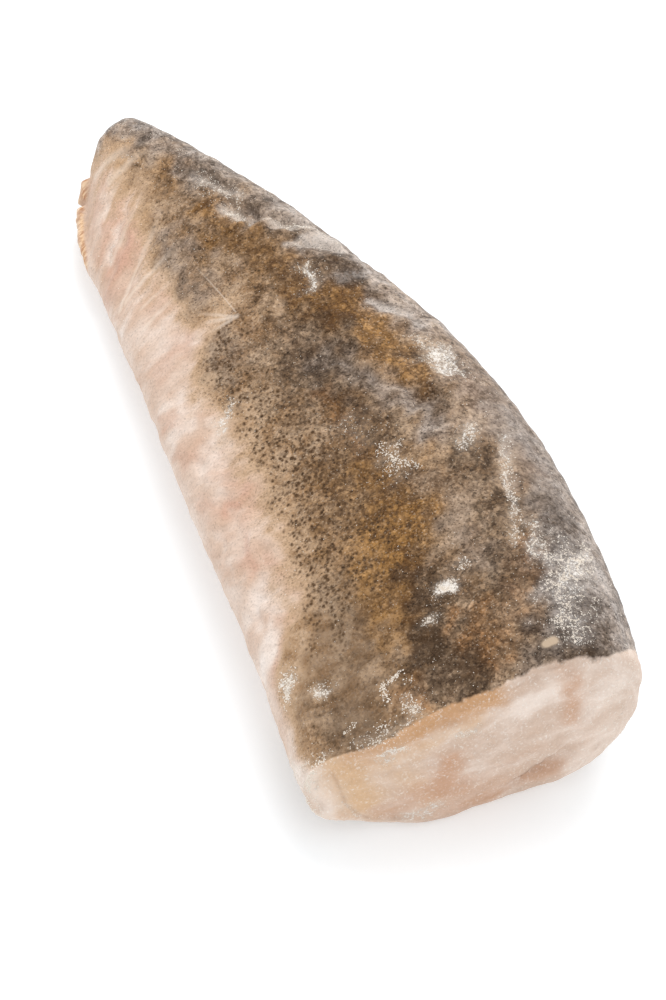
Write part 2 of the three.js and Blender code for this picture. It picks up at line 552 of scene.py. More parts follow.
@dataclass(frozen=True)
class Stroke:
    """A soft band from one place to another, on the skin or on the cut face.

    Attributes:
        start: share of the length and degrees round; on the face, millimetres
            across and up.
        end: the other end, given alike.
        width: half width in millimetres.
        strength: cover along its middle.
        edge_power: how steeply its sides fall.
    """

    start: Place
    end: Place
    width: float
    strength: float = 1.0
    edge_power: float = 1.8

    def cover(self, first: np.ndarray, second: np.ndarray, run: Pair) -> np.ndarray:
        """Cover of the band at gaps from its start.

        Args:
            first: gaps along, in millimetres.
            second: gaps around, in millimetres.
            run: the way from its start to its end, in millimetres.

        Returns:
            Its strength on the middle line, falling to nothing at the sides.
        """
        whole = max(run[0] ** 2 + run[1] ** 2, NEARLY_NOTHING)
        share = np.clip((first * run[0] + second * run[1]) / whole, 0.0, 1.0)
        gap = np.hypot(first - share * run[0], second - share * run[1])
        return self.strength * np.exp(-((gap / self.width) ** self.edge_power))


Strokes = tuple[Stroke, ...]


def strokes(*rows: Row) -> Strokes:
    """Strokes from rows of start, end, half width and, where it isn't one, strength."""
    return tuple(Stroke(*row) for row in rows)


@dataclass(frozen=True)
class Marks:
    """Where the skin changes colour, by kind, and where frost sits on it.

    Attributes:
        border: share of the length, and degrees round of the belly's edge there.
        flesh_reach: degrees round, and how far bare flesh goes past the rim there.
        lines: pale scratches that fade toward their far ends.
        folds: silver bands of painted sheen along the fold ridges.
        nodules: small pale bumps.
        crystals: lines that crumbs of frost are strung on.
        calm: smooth skin with few specks.
        ridges: raised folds; a strength is a share of the fold height.
        dents: sunken folds, given alike.
        network: dark lines between pale cells.
        bare: skin without its usual darkness.
        ochre: golden patches.
        rust: red-brown patches.
        dark: dark patches.
        cool: grey patches.
        dots: groups of round dark dots.
        bloom_and_sheen: pale bloom, and painted sheen along the back's edge and on the fold ridges.
        frost: crust of frost.
        pink: pink patches of the belly.
        white: white patches of the belly.
    """

    border: tuple[Place, ...] = (
        (0, 148), (0.03, 160), (0.07, 168), (0.11, 161), (0.14, 156), (0.165, 150), (0.18, 143),
        (0.2, 136), (0.25, 131), (0.3, 128), (0.36, 126), (0.46, 125), (0.5, 123), (0.53, 126),
        (0.56, 129), (0.6, 126), (0.63, 120), (0.645, 110), (0.66, 108), (0.68, 112), (0.72, 115),
        (0.8, 115), (0.84, 110), (0.865, 99), (0.93, 92), (1, 86),
    )
    flesh_reach: tuple[Place, ...] = (
        (0, 9), (14, 8), (42, 0.4), (80, 1), (140, 1.8), (160, 3), (178, 6), (195, 6), (250, 6), (300, 9),
        (360, 9),
    )
    lines: Strokes = strokes(
        ((0.641, 97), (0.775, 95.8), 0.4, 0.35), ((0.829, 154), (0.848, 86), 2, 0.5),
        ((0.823, 142), (0.782, 92), 1.8, 0.45), ((0.893, 132), (0.886, 86), 2.6, 0.35),
        ((0.75, 138), (0.738, 108), 1.8, 0.35), ((0.985, 98), (0.915, 58), 2.2, 0.4),
        ((0.952, 96), (0.902, 60), 2, 0.35), ((0.94, 116), (0.93, 82), 1.6, 0.35),
        ((0.78, 132), (0.76, 104), 1.5, 0.3), ((0.634, 98), (0.672, 112), 1.6, 0.5),
        ((0.634, 98), (0.695, 111), 1.1, 0.4), ((0.635, 99), (0.645, 113), 1.4, 0.4),
    )
    # Painted sheen along the fold ridges.
    folds: Strokes = strokes(
        ((0.676, 63), (0.67, 52), 2.8, 0.5), ((0.67, 52), (0.662, 42), 3.6, 0.7),
        ((0.662, 42), (0.645, 32), 4, 0.75), ((0.645, 32), (0.615, 24), 3.4, 0.5),
        ((0.774, 70), (0.751, 68), 2.6, 0.42), ((0.751, 68), (0.723, 61), 2.2, 0.25),
        ((0.723, 61), (0.703, 52), 2.4, 0.35), ((0.703, 52), (0.68, 34), 2.4, 0.3),
        ((0.836, 63), (0.815, 62), 2.8, 0.28), ((0.815, 62), (0.765, 55), 2.4, 0.22),
        ((0.549, 55), (0.519, 48), 2.4, 0.35),
    )
    nodules: Strokes = strokes(((0.0262, 68.6), (0.0272, 66.4), 2.2, 2.2))
    crystals: Strokes = strokes(
        ((0.066, 107), (0.063, 111), 0.45), ((0.064, 111), (0.06, 115), 0.5),
        ((0.06, 115), (0.054, 114), 0.5, 0.8), ((0.053, 115), (0.04, 115), 0.45, 0.8),
        ((0.055, 108), (0.05, 106), 0.5, 0.4), ((0.036, 129), (0.031, 136), 0.6, 0.3),
        ((0.03, 108), (0.02, 112), 1, 0.5), ((0.022, 122), (0.016, 118), 0.8, 0.6),
        ((0.012, 118), (0.008, 128), 0.8, 0.4), ((0.356, 88), (0.34, 89), 0.4, 0.5),
        ((0.345, 84), (0.325, 87), 0.4, 0.6), ((0.34, 88), (0.325, 87), 0.4, 0.6),
        ((0.325, 87), (0.31, 84), 0.5, 0.7), ((0.325, 87), (0.315, 90), 0.4, 0.5),
        ((0.312, 90), (0.31, 84), 0.5, 0.6), ((0.31, 84), (0.3, 82), 0.4, 0.5),
        ((0.3, 48), (0.25, 56), 1.2, 0.25), ((0.25, 56), (0.205, 61), 1, 0.25),
        ((0.205, 61), (0.16, 65), 0.9, 0.3), ((0.135, 58), (0.115, 52), 1, 0.5),
        ((0.115, 52), (0.095, 58), 1, 0.4), ((0.095, 58), (0.06, 57), 1.2, 0.4),
        ((0.06, 57), (0.034, 60), 1.2, 0.35), ((0.006, 158), (0.004, 184), 0.9, 0.5),
        ((0.004, 184), (0.006, 204), 0.9, 0.4), ((0.113, 94.5), (0.105, 97), 0.6, 0.8),
        ((0.16, 86), (0.154, 83), 0.8, 0.6), ((0.137, 152), (0.118, 158), 1.2, 0.6),
        ((0.1, 138), (0.092, 134), 1, 0.5), ((0.02, 150), (0.005, 160), 1.6, 0.4),
    )
    calm: Strokes = strokes(
        ((0.02, 128), (0.15, 124), 12, 0.6), ((0.1, 150), (0.16, 135), 8, 0.5),
        ((0.2, 46), (0.36, 44), 9, 0.3),
    )
    ridges: Strokes = strokes(
        ((0.848, 63), (0.789, 56), 2.5, 0.8), ((0.766, 69), (0.735, 61), 2.4, 1),
        ((0.735, 61), (0.705, 50), 2.4, 1), ((0.705, 50), (0.675, 25), 2.8, 0.8),
        ((0.68, 61), (0.661, 52), 2, 0.8), ((0.661, 52), (0.646, 38), 2.4, 1),
        ((0.646, 38), (0.61, 20), 2.8, 0.8), ((0.546, 56), (0.51, 43), 2.5, 0.8),
        ((0.515, 87), (0.444, 78), 3, 0.7), ((0.444, 78), (0.378, 68), 3, 0.8),
        ((0.3, 48), (0.16, 66), 2.2, 0.5), ((0.44, 49), (0.415, 50), 3.5, 0.8),
        ((0.143, 90), (0.15, 88), 2.5, 0.5), ((0.84, 150), (0.838, 92), 2, 0.5),
        ((0.9, 134), (0.905, 102), 2.5, 0.5), ((0.48, 146), (0.47, 133), 5, 0.7),
        ((0.24, 158), (0.255, 144), 4, 0.7), ((0.365, 156), (0.38, 130), 4, 0.6),
    )
    dents: Strokes = strokes(
        ((0.74, 74), (0.7, 58), 2.5, 0.7), ((0.672, 46), (0.65, 30), 2, 0.6),
        ((0.63, 60), (0.6, 40), 4, 0.6), ((0.546, 75), (0.471, 75), 3.5, 0.8),
        ((0.43, 66), (0.38, 60), 3.5, 0.7), ((0.82, 112), (0.78, 90), 3, 0.5),
        ((0.64, 112), (0.62, 96), 3, 0.6), ((0.43, 150), (0.44, 132), 4, 0.6),
        ((0.31, 152), (0.32, 134), 4, 0.6), ((0.87, 150), (0.87, 104), 2.5, 0.5),
    )
    network: Strokes = strokes(
        ((0.17, 98), (0.25, 90), 7), ((0.03, 88), (0.11, 88), 7, 0.9), ((0.1, 92), (0.16, 94), 4, 0.7),
        ((0.41, 66), (0.56, 63), 6), ((0.58, 70), (0.74, 76), 8, 0.7), ((0.25, 96), (0.34, 98), 7, 0.7),
        ((0.07, 74), (0.12, 66), 5, 0.5),
    )
    bare: Strokes = strokes(
        ((0.09, 172), (0.18, 136), 7, 0.95), ((0.02, 165), (0.05, 158), 7, 0.95),
        ((0.6, 97), (0.65, 97), 4, 0.7), ((0.655, 112), (0.64, 98), 3, 0.9),
        ((0.69, 100), (0.74, 98), 5, 0.9), ((0.925, 82), (0.915, 70), 3.5, 0.6),
        ((0.78, 94), (0.84, 96), 5, 0.5), ((0.1, 176), (0.15, 160), 8, 0.6),
        ((0.9, 74), (0.95, 66), 5, 0.5), ((0.86, 58), (0.9, 56), 4, 0.5), ((0.985, 94), (1, 64), 7, 0.8),
        ((0.26, 122), (0.34, 116), 5, 0.5), ((0.24, 120), (0.3, 116), 4, 0.7),
        ((0.63, 100), (0.66, 92), 3.5, 0.7),
    )
    ochre: Strokes = strokes(
        ((0.2, 97), (0.25, 88), 5.5), ((0.25, 94), (0.34, 94), 3.5, 0.7),
        ((0.14, 103), (0.23, 100), 6, 0.7), ((0.24, 106), (0.36, 104), 8, 0.4),
        ((0.3, 90), (0.44, 90), 3, 0.45), ((0.09, 106), (0.14, 106), 4, 0.5),
        ((0.41, 66), (0.5, 66), 5, 0.8), ((0.5, 64), (0.56, 62), 5, 0.8),
        ((0.57, 72), (0.62, 74), 7, 0.8), ((0.66, 73), (0.74, 76), 6, 0.7),
        ((0.75, 78), (0.77, 76), 4, 0.7), ((0.8, 78), (0.785, 69), 2.5),
        ((0.86, 76), (0.895, 74), 5, 0.5), ((0.94, 76), (0.985, 74), 4, 0.6),
        ((0.28, 78), (0.31, 80), 4, 0.4), ((0.54, 70), (0.57, 68), 5, 0.6),
        ((0.2, -8), (0.32, -16), 7, 0.7), ((0.54, -34), (0.66, -28), 7, 0.7),
        ((0.8, -12), (0.88, -18), 5, 0.6), ((0.38, -52), (0.48, -56), 8, 0.6),
    )
    rust: Strokes = strokes(
        ((0.03, 86), (0.095, 86), 4.2, 0.65), ((0.07, 74), (0.12, 66), 4, 0.4),
        ((0.35, 92), (0.47, 92), 1.5, 0.6), ((0.01, 106), (0.04, 108), 4, 0.6),
        ((0.14, 64), (0.16, 64), 3, 0.5), ((0.35, 50), (0.4, 46), 6, 0.4),
        ((0.25, 44), (0.27, 44), 4, 0.3),
    )
    dark: Strokes = strokes(
        ((0.195, 94.5), (0.12, 97.5), 3.4, 0.95), ((0.15, 94), (0.12, 95), 3.4),
        ((0.12, 97.5), (0.06, 98.5), 4.2), ((0.1, 97), (0.05, 97), 3, 0.8),
        ((0.05, 97), (0.01, 93), 5, 0.95), ((0.13, 54), (0.03, 60), 6, 0.5),
        ((0.02, 96), (0.06, 95), 4.5, 0.9), ((0, 92), (0.03, 92), 2.5), ((0, 52), (0.01, 68), 3),
        ((0.94, 62), (0.985, 70), 7, 0.1), ((0.57, 78), (0.63, 80), 6, 0.8),
        ((0.58, 66), (0.64, 60), 6, 0.55), ((0.6, 52), (0.64, 46), 5, 0.8),
        ((0.66, 74), (0.79, 79), 6, 0.28), ((0.3, 89), (0.5, 90), 3, 0.7),
        ((0.36, 86), (0.47, 83), 3, 0.5), ((0.73, 109), (0.8, 110), 5, 0.35),
        ((0.67, 72), (0.7, 64), 4, 0.6), ((0.84, 74), (0.92, 72), 5, 0.45),
        ((0.16, 121), (0.24, 118), 8, 0.35), ((0.16, 71), (0.2, 68), 4, 0.5),
        ((0.565, 47), (0.58, 56), 4, 0.6), ((0.615, 56), (0.63, 74), 3, 0.8),
        ((0.36, 80), (0.46, 92), 5, 0.2), ((0.68, 60), (0.69, 48), 2.5, 0.9),
        ((0.79, 72), (0.8, 80), 2.5, 0.6), ((0.7, 106), (0.79, 108), 6, 0.25),
        ((0.28, 108), (0.36, 106), 6.5, 0.45), ((0.22, 92), (0.29, 90), 5, 0.35),
        ((0.38, 98), (0.48, 96), 9, 0.3), ((0.1, 118), (0.16, 112), 9, 0.25),
        ((0.5, 94), (0.56, 84), 7, 0.7), ((0.5, 76), (0.55, 72), 4, 0.8),
        ((0.56, 116), (0.63, 110), 8, 0.3), ((0.37, 63), (0.43, 63), 3, 0.5),
        ((0.36, 49), (0.41, 44), 5, 0.3), ((0.22, 66), (0.29, 70), 5, 0.7),
        ((0.27, 60), (0.29, 62), 3, 0.6), ((0.1, 76), (0.14, 74), 5, 0.7), ((0, 72), (0.05, 70), 5, 0.9),
        ((0, 50), (0.07, 52), 6, 0.9), ((0.15, 46), (0.2, 44), 6, 0.7), ((0.73, 56), (0.78, 54), 5, 0.4),
        ((0.84, 50), (0.95, 48), 5, 0.3), ((0.86, 40), (0.97, 46), 6, 0.2),
        ((0.74, 44), (0.84, 46), 5, 0.3), ((0.8, 60), (0.84, 54), 4, 0.25),
        ((0.26, 97), (0.36, 96), 5, 0.35), ((0.6, 60), (0.625, 74), 4, 0.4),
        ((0.7, 80), (0.74, 86), 5, 0.3), ((0.55, 54), (0.59, 50), 4, 0.5),
        ((0.44, 58), (0.46, 60), 2, 0.9), ((0, 125), (0.05, 135), 8, 0.4),
        ((0.05, 165), (0.09, 160), 4, 0.3), ((0.05, -8), (0.2, -22), 9, 0.6),
        ((0.28, -30), (0.4, -24), 8, 0.5), ((0.46, -6), (0.56, -26), 9, 0.6),
        ((0.7, -4), (0.8, -22), 7, 0.6), ((0.62, -50), (0.76, -46), 9, 0.5),
        ((0.12, -56), (0.3, -60), 10, 0.5), ((0.88, -10), (0.95, -24), 6, 0.5),
    )
    cool: Strokes = strokes(
        ((0.42, 82), (0.5, 84), 6, 0.35), ((0.36, 68), (0.44, 78), 4, 0.5),
        ((0.15, 80), (0.28, 82), 7, 0.5), ((0.03, 52), (0.1, 52), 9, 0.8),
        ((0.15, 46), (0.22, 48), 8, 0.6), ((0.5, 86), (0.56, 84), 8, 0.25),
        ((0.13, 54), (0.03, 60), 7, 0.9), ((0.8, 102), (0.84, 102), 5, 0.5),
        ((0.7, 103), (0.78, 103), 7, 0.5), ((0.58, 112), (0.63, 112), 8, 0.4),
        ((0.84, 56), (0.95, 52), 8, 0.1), ((0, 75), (0.04, 65), 6, 0.6), ((0, 32), (0.3, 36), 9, 0.6),
        ((0.28, 42), (0.44, 46), 8, 0.5), ((0.02, 14), (0.5, 16), 9, 0.6),
        ((0.5, 16), (0.97, 22), 8, 0.5), ((0.3, -34), (0.6, -44), 12, 0.5),
        ((0.72, -20), (0.88, -30), 9, 0.5), ((0.06, -40), (0.16, -30), 10, 0.5),
        ((0.03, 128), (0.12, 126), 12, 0.15),
    )
    dots: Strokes = strokes(
        ((0.22, 114), (0.46, 112), 13), ((0.25, 103), (0.42, 102), 8, 0.75),
        ((0.17, 98), (0.25, 92), 7, 0.6), ((0.03, 88), (0.11, 88), 6, 0.5),
        ((0.46, 116), (0.52, 112), 9, 0.8), ((0.54, 116), (0.63, 110), 10, 0.9),
        ((0.15, 124), (0.22, 120), 10, 0.8), ((0.68, 104), (0.82, 104), 7, 0.35),
        ((0.42, 66), (0.58, 62), 5, 0.6), ((0.6, 50), (0.63, 50), 7, 0.5),
        ((0.22, -40), (0.46, -44), 11, 0.8), ((0.56, -44), (0.74, -40), 9, 0.7),
        ((0.8, -44), (0.92, -40), 7, 0.5),
    )
    # Pale bloom; the strokes along the back's edge and on the fold ridges are painted sheen.
    bloom_and_sheen: Strokes = strokes(
        ((0.22, 36), (0.34, 38), 10, 0.45), ((0.34, 36), (0.5, 38), 8, 0.2),
        ((0.5, 40), (0.6, 36), 7, 0.7), ((0.64, 38), (0.72, 36), 6, 0.8), ((0.72, 38), (1, 42), 6, 0.6),
        ((0.34, 56), (0.38, 52), 6, 0.25), ((0.1, 32), (0.17, 32), 6, 0.7),
        ((0.14, 44), (0.08, 48), 5, 0.6), ((0.14, 51), (0.09, 54), 5, 0.6),
        ((0.09, 55), (0.045, 56), 4, 0.5), ((0.15, 52), (0.18, 50), 4, 0.5),
        ((0, 29), (0.1, 30), 5, 0.75), ((0.02, 40), (0.1, 42), 4, 0.45), ((0.33, 69), (0.4, 75), 3, 0.5),
        ((0.4, 75), (0.45, 80), 2.4, 0.2), ((0.444, 78), (0.515, 87), 2.2, 0.35),
        ((0.04, 14), (0.5, 15), 8, 0.55), ((0.5, 15), (0.97, 20), 7, 0.55),
        ((0.24, -14), (0.4, -8), 4, 0.7), ((0.58, -16), (0.66, 2), 3.5, 0.8),
        ((0.8, -30), (0.84, -6), 3, 0.7), ((0.1, -30), (0.2, -50), 5, 0.5),
        ((0.848, 63), (0.789, 56), 3.4, 0.45), ((0.766, 69), (0.735, 61), 2.8, 0.5),
        ((0.735, 61), (0.705, 50), 3.2, 0.4), ((0.705, 50), (0.675, 25), 4, 0.4),
        ((0.66, 58), (0.642, 34), 3.4, 0.8), ((0.6, 60), (0.586, 38), 3),
        ((0.335, 76), (0.345, 74), 2.5, 0.6), ((0.93, 46), (1, 54), 8, 0.25),
        ((0.661, 52), (0.646, 38), 3.4), ((0.646, 38), (0.61, 20), 4), ((0.546, 56), (0.51, 43), 3),
    )
    frost: Strokes = strokes(
        ((0.605, 70), (0.632, 67), 2.2, 0.9), ((0.415, 50), (0.455, 49), 4, 0.9),
        ((0.42, 58), (0.415, 54), 1.2, 0.6), ((0.305, 66), (0.325, 60), 2, 0.8),
        ((0.3, 48), (0.25, 56), 1.5, 0.7), ((0.25, 57), (0.2, 61), 1.3, 0.7),
        ((0.2, 62), (0.16, 66), 1.2, 0.5), ((0.145, 62), (0.125, 58), 1.5, 0.6),
        ((0.135, 34), (0.112, 47), 3, 0.9), ((0.175, 57), (0.15, 59), 2.2, 0.7),
        ((0.106, 57), (0.106, 41), 2.6, 0.75), ((0.135, 50), (0.09, 54), 5.5, 0.3),
        ((0.09, 55), (0.05, 55), 4.5, 0.42), ((0.05, 55), (0.03, 58), 3, 0.5),
        ((0.16, 85), (0.156, 83), 1.3, 0.6), ((0.146, 89.2), (0.135, 89), 1.1, 1.5),
        ((0.113, 94.5), (0.108, 96), 1, 0.7), ((0.3, 88), (0.345, 86), 2, 0.25),
        ((0.37, 90), (0.41, 92), 2, 0.35), ((0.135, 152), (0.12, 158), 2.6, 1.1),
        ((0.099, 138), (0.092, 134), 1.6, 1), ((0.035, 108), (0.015, 110), 1.5, 0.5),
        ((0.01, 112), (0.01, 132), 1.5, 0.4), ((0.76, 70), (0.755, 66), 2, 0.7),
        ((0.82, 62), (0.77, 61), 2.5, 0.4), ((0.665, 58), (0.645, 34), 2.2, 0.35),
        ((0.43, 43), (0.44, 49), 3, 0.8), ((0.74, 68), (0.7, 50), 1.5, 0.3),
        ((0.7, 50), (0.67, 36), 2.5, 0.5), ((0.522, 121), (0.505, 129), 2.6, 0.8),
        ((0.01, 150), (0.03, 170), 3.5, 0.3), ((0.01, 176), (0.06, 184), 6, 0.5),
        ((0.905, 118), (0.9, 132), 1.5, 0.4), ((0.12, 6), (0.17, -6), 3, 0.8),
        ((0.34, -14), (0.37, -6), 2.6, 0.8), ((0.47, 4), (0.51, -4), 2, 0.7),
        ((0.64, -2), (0.66, -16), 2.4, 0.7), ((0.78, 2), (0.82, -10), 2, 0.6),
        ((0.04, -34), (0.08, -44), 3, 0.7),
    )
    pink: Strokes = strokes(
        ((0.4, 131), (0.39, 146), 3, 0.9), ((0.67, 122), (0.66, 150), 6, 0.4),
        ((0.87, 106), (0.87, 126), 5, 0.9), ((0.87, 126), (0.87, 180), 7, 0.6),
        ((0.93, 140), (0.92, 96), 4, 0.5), ((0.97, 130), (0.96, 96), 3, 0.5),
        ((0.6, 165), (0.57, 150), 4, 0.5), ((0.3, 144), (0.34, 140), 4, 0.7),
        ((0.46, 135), (0.36, 130), 5, 0.4), ((0.43, 165), (0.41, 150), 4, 0.5),
        ((0.52, 165), (0.5, 148), 5, 0.5), ((0.28, 132), (0.24, 128), 4, 0.6),
        ((0.19, 140), (0.16, 160), 4, 0.7), ((0.77, 118), (0.74, 112), 4, 0.5),
    )
    white: Strokes = strokes(
        ((0, 158), (0.02, 176), 6, 0.9), ((0.02, 176), (0.05, 186), 6, 0.8),
        ((0.52, 124), (0.49, 130), 3.5, 0.8), ((0.665, 118), (0.645, 106), 3, 0.8),
        ((0.24, 158), (0.255, 144), 6, 0.9), ((0.2, 152), (0.22, 138), 4.5, 0.9),
        ((0.17, 176), (0.19, 156), 4, 0.7), ((0.31, 158), (0.335, 140), 5, 0.6),
        ((0.365, 156), (0.38, 136), 4.5, 0.6), ((0.42, 146), (0.44, 138), 5, 0.5),
        ((0.48, 146), (0.47, 134), 7, 0.7), ((0.55, 160), (0.56, 142), 5, 0.5),
        ((0.6, 142), (0.55, 136), 5, 0.5), ((0.9, 134), (0.905, 106), 3, 0.8),
        ((0.94, 120), (0.945, 96), 2.4, 0.5), ((0.75, 150), (0.72, 122), 5, 0.5),
        ((0.8, 160), (0.8, 132), 4, 0.5), ((0.7, 160), (0.69, 132), 4, 0.4),
        ((0.62, 152), (0.58, 136), 8, 0.45), ((0.7, 150), (0.66, 128), 8, 0.4),
    )


@dataclass(frozen=True)
class FaceMarks:
    """Where the cut flesh changes colour, in millimetres across and up.

    Attributes:
        orange: dried flesh under the skin's edge.
        cream: cream patches.
        white: white patches.
        crease: thin shaded lines.
        blush_and_shade: pink patches, and painted shade low on the cut and under the step.
        glaze: frost on the flesh.
    """

    orange: Strokes = strokes(
        ((-48, 37), (-37, 42), 6, 0.6), ((-37, 43), (-12, 51), 5.6, 0.85), ((-32, 46), (-12, 52), 4, 0.6),
        ((-50, 12), (-42, 8), 4, 0.4),
    )
    cream: Strokes = strokes(
        ((-50, 31), (-46, 17), 7, 0.9), ((-40, 33), (-15, 43), 4, 0.5), ((-34, 26), (-28, 14), 5, 0.5),
    )
    white: Strokes = strokes(
        ((-57, 28), (-53, 10), 4), ((-53, 10), (-40, 2), 3.5, 0.9), ((-36, 37), (-12, 44), 3, 0.5),
        ((-4, 44), (6, 48), 4, 0.9), ((16, 38), (26, 46), 6, 0.6), ((12, 14), (24, 22), 6, 0.45),
    )
    crease: Strokes = strokes(
        ((-5, 12.6), (4.6, 19.8), 1.2, 0.8), ((4.6, 19.8), (8.5, 19), 0.8, 0.4),
        ((-16, 21), (-1.5, 23.5), 1.2, 0.12), ((-52.5, 28), (-50.2, 17), 0.9, 0.22),
        ((-50.2, 17), (-42.5, 6), 0.9, 0.28),
    )
    # Pink patches; the strokes low on the cut and the one under the step are painted shade.
    blush_and_shade: Strokes = strokes(
        ((11, 36), (11, 51), 3.6, 0.7), ((-40, 10), (-10, 5), 6, 0.5), ((-30, 20), (-8, 14), 6, 0.5),
        ((-8, 24), (2, 26), 3, 0.3), ((-22.5, 30), (-24.5, 19), 3.8, 0.9), ((-36, 16), (-20, 15), 4, 0.4),
        ((1, 10), (9, 14), 3.5, 0.7), ((-16, 6), (-8, 6), 4, 0.5), ((16, 24), (20, 34), 5, 0.2),
    )
    glaze: Strokes = strokes(
        ((-40, 36), (-36, 39), 2.2, 1), ((-33, 6), (-26, 10), 2.6, 0.95),
        ((-20, 38), (-15, 39.5), 1.8, 0.8), ((24, 22), (26, 44), 7, 0.3),
        ((-51, 26), (-50.6, 16.6), 1.2, 0.4), ((-50.6, 16.6), (-43, 7), 1.8, 0.5),
    )


class ShaderBench:
    """Adds the nodes of one material and links them."""

    def __init__(self, name: str) -> None:
        """Starts a material with one surface shader.

        Args:
            name: name of the material.
        """
        self.material = bpy.data.materials.new(name)
        self.material.use_nodes = True
        self.tree = self.material.node_tree
        self.surface = self.tree.nodes["Principled BSDF"]

    def feed(self, socket: Socket, value: Value) -> None:
        """Links a socket to another one, or writes a constant on it.

        Args:
            socket: the input.
            value: an output, a number, a colour or a vector.
        """
        if isinstance(value, bpy.types.NodeSocket):
            self.tree.links.new(value, socket)
        elif socket.type == "RGBA":
            socket.default_value = (*value, 1.0)
        else:
            socket.default_value = value

    def node(self, kind: str, inputs: dict[str | int, Value], **options: str) -> bpy.types.Node:
        """Adds a node.

        Args:
            kind: its type.
            inputs: what its sockets are fed with, by name or number.
            options: its settings.

        Returns:
            The node.
        """
        node = self.tree.nodes.new(kind)
        for name, option in options.items():
            setattr(node, name, option)
        for name, value in inputs.items():
            self.feed(node.inputs[name], value)
        return node

    def set(self, name: str, value: Value) -> None:
        """One input of the surface shader."""
        self.feed(self.surface.inputs[name], value)

    def mask(self, mask: Mask) -> Socket:
        """A number stored on the mesh."""
        return self.node("ShaderNodeAttribute", {}, attribute_name=mask.value).outputs["Fac"]

    def place(
        self, size: float | Triple, turn: float = 0.0, ground: Ground = Ground.OBJECT
    ) -> Socket:
        """Coordinates counted in steps of a size, turned first.

        Args:
            size: step in millimetres, one for all axes or one for each.
            turn: degrees about the third axis.
            ground: what the pattern is laid on.

        Returns:
            The coordinates.
        """
        steps = size if isinstance(size, tuple) else (size, size, size)
        if ground is Ground.PLAN:
            source = self.node("ShaderNodeUVMap", {}, uv_map=PLAN_MAP)
            unit = PLAN_UNIT
        else:
            source = self.node("ShaderNodeTexCoord", {})
            unit = MILLIMETRE
        inputs = {
            "Vector": source.outputs[ground.value],
            "Rotation": (0.0, 0.0, math.radians(turn)),
            "Scale": tuple(step * unit for step in steps),
        }
        return self.node("ShaderNodeMapping", inputs, vector_type="TEXTURE").outputs["Vector"]

    def vector(self, step: Step, first: Value, second: Value | None = None) -> Socket:
        """One step of vector arithmetic.

        Args:
            step: which step.
            first: the first vector.
            second: the second vector, the number to scale by, or none for a length.

        Returns:
            A vector, or a number out of products and lengths.
        """
        node = self.node("ShaderNodeVectorMath", {0: first}, operation=step.value)
        if second is not None:
            self.feed(node.inputs["Scale" if step is Step.SCALE else 1], second)
        number = step in (Step.DOT_PRODUCT, Step.LENGTH)
        return node.outputs["Value" if number else "Vector"]

    def line_gap(self, start: Place, end: Place) -> tuple[Socket, Socket]:
        """Distance in millimetres from a straight line on the unrolled skin.

        Args:
            start: one end, in millimetres.
            end: the other end, in millimetres.

        Returns:
            The distance, and the share of the line's length at its nearest point.
        """
        run = Vector((end[0] - start[0], end[1] - start[1], 0.0))
        here = self.place(1.0, ground=Ground.PLAN)
        here = self.vector(Step.SUBTRACT, here, (*start, 0.0))
        way = self.vector(Step.DOT_PRODUCT, here, tuple(run / run.length_squared))
        share = self.node("ShaderNodeClamp", {"Value": way}).outputs["Result"]
        foot = self.vector(Step.SCALE, tuple(run), share)
        return self.vector(Step.LENGTH, self.vector(Step.SUBTRACT, here, foot)), share

    def noise(
        self, where: Socket, detail: float = 3.0, rough: float = 0.55, warp: float = 0.0
    ) -> Socket:
        """Soft noise from 0 to 1 whose lumps are about as large as the steps.

        Args:
            where: coordinates.
            detail: how many finer layers are added.
            rough: how strong each finer layer is.
            warp: how far the lumps are pulled about.

        Returns:
            The noise.
        """
        inputs = {"Vector": where, "Scale": 1.0, "Detail": detail}
        inputs |= {"Roughness": rough, "Distortion": warp}
        return self.node("ShaderNodeTexNoise", inputs).outputs["Fac"]

    def warp(self, where: Socket, amount: float) -> Socket:
        """Coordinates pushed about by soft noise.

        Args:
            where: coordinates.
            amount: twice the farthest push, in steps.

        Returns:
            The pushed coordinates.
        """
        soft = self.node("ShaderNodeTexNoise", {"Vector": where, "Scale": 0.8}).outputs["Color"]
        push = self.vector(Step.SUBTRACT, soft, (0.5, 0.5, 0.5))
        return self.vector(Step.ADD, where, self.vector(Step.SCALE, push, amount))

    def cells(self, where: Socket, random: float = 1.0) -> tuple[Socket, Socket]:
        """Cells round scattered points.

        Args:
            where: coordinates.
            random: how far the points leave a regular grid.

        Returns:
            Distance to the nearest point, and that point's random number.
        """
        inputs = {"Vector": where, "Scale": 1.0, "Randomness": random}
        node = self.node("ShaderNodeTexVoronoi", inputs)
        split = self.node("ShaderNodeSeparateColor", {"Color": node.outputs["Color"]})
        return node.outputs["Distance"], split.outputs["Red"]

    def cell_edges(self, where: Socket) -> Socket:
        """Distance in steps to the nearest edge between cells round scattered points."""
        inputs, kind = {"Vector": where, "Scale": 1.0}, "DISTANCE_TO_EDGE"
        return self.node("ShaderNodeTexVoronoi", inputs, feature=kind).outputs["Distance"]

    def join(self, step: Step, first: Value, second: Value) -> Socket:
        """One step of arithmetic."""
        return self.node("ShaderNodeMath", {0: first, 1: second}, operation=step.value).outputs[0]

    def add(self, first: Value, second: Value) -> Socket:
        """Sum of two numbers."""
        return self.join(Step.ADD, first, second)

    def times(self, first: Value, second: Value) -> Socket:
        """Product of two numbers."""
        return self.join(Step.MULTIPLY, first, second)

    def greater(self, first: Value, second: Value) -> Socket:
        """The greater of two numbers."""
        return self.join(Step.MAXIMUM, first, second)

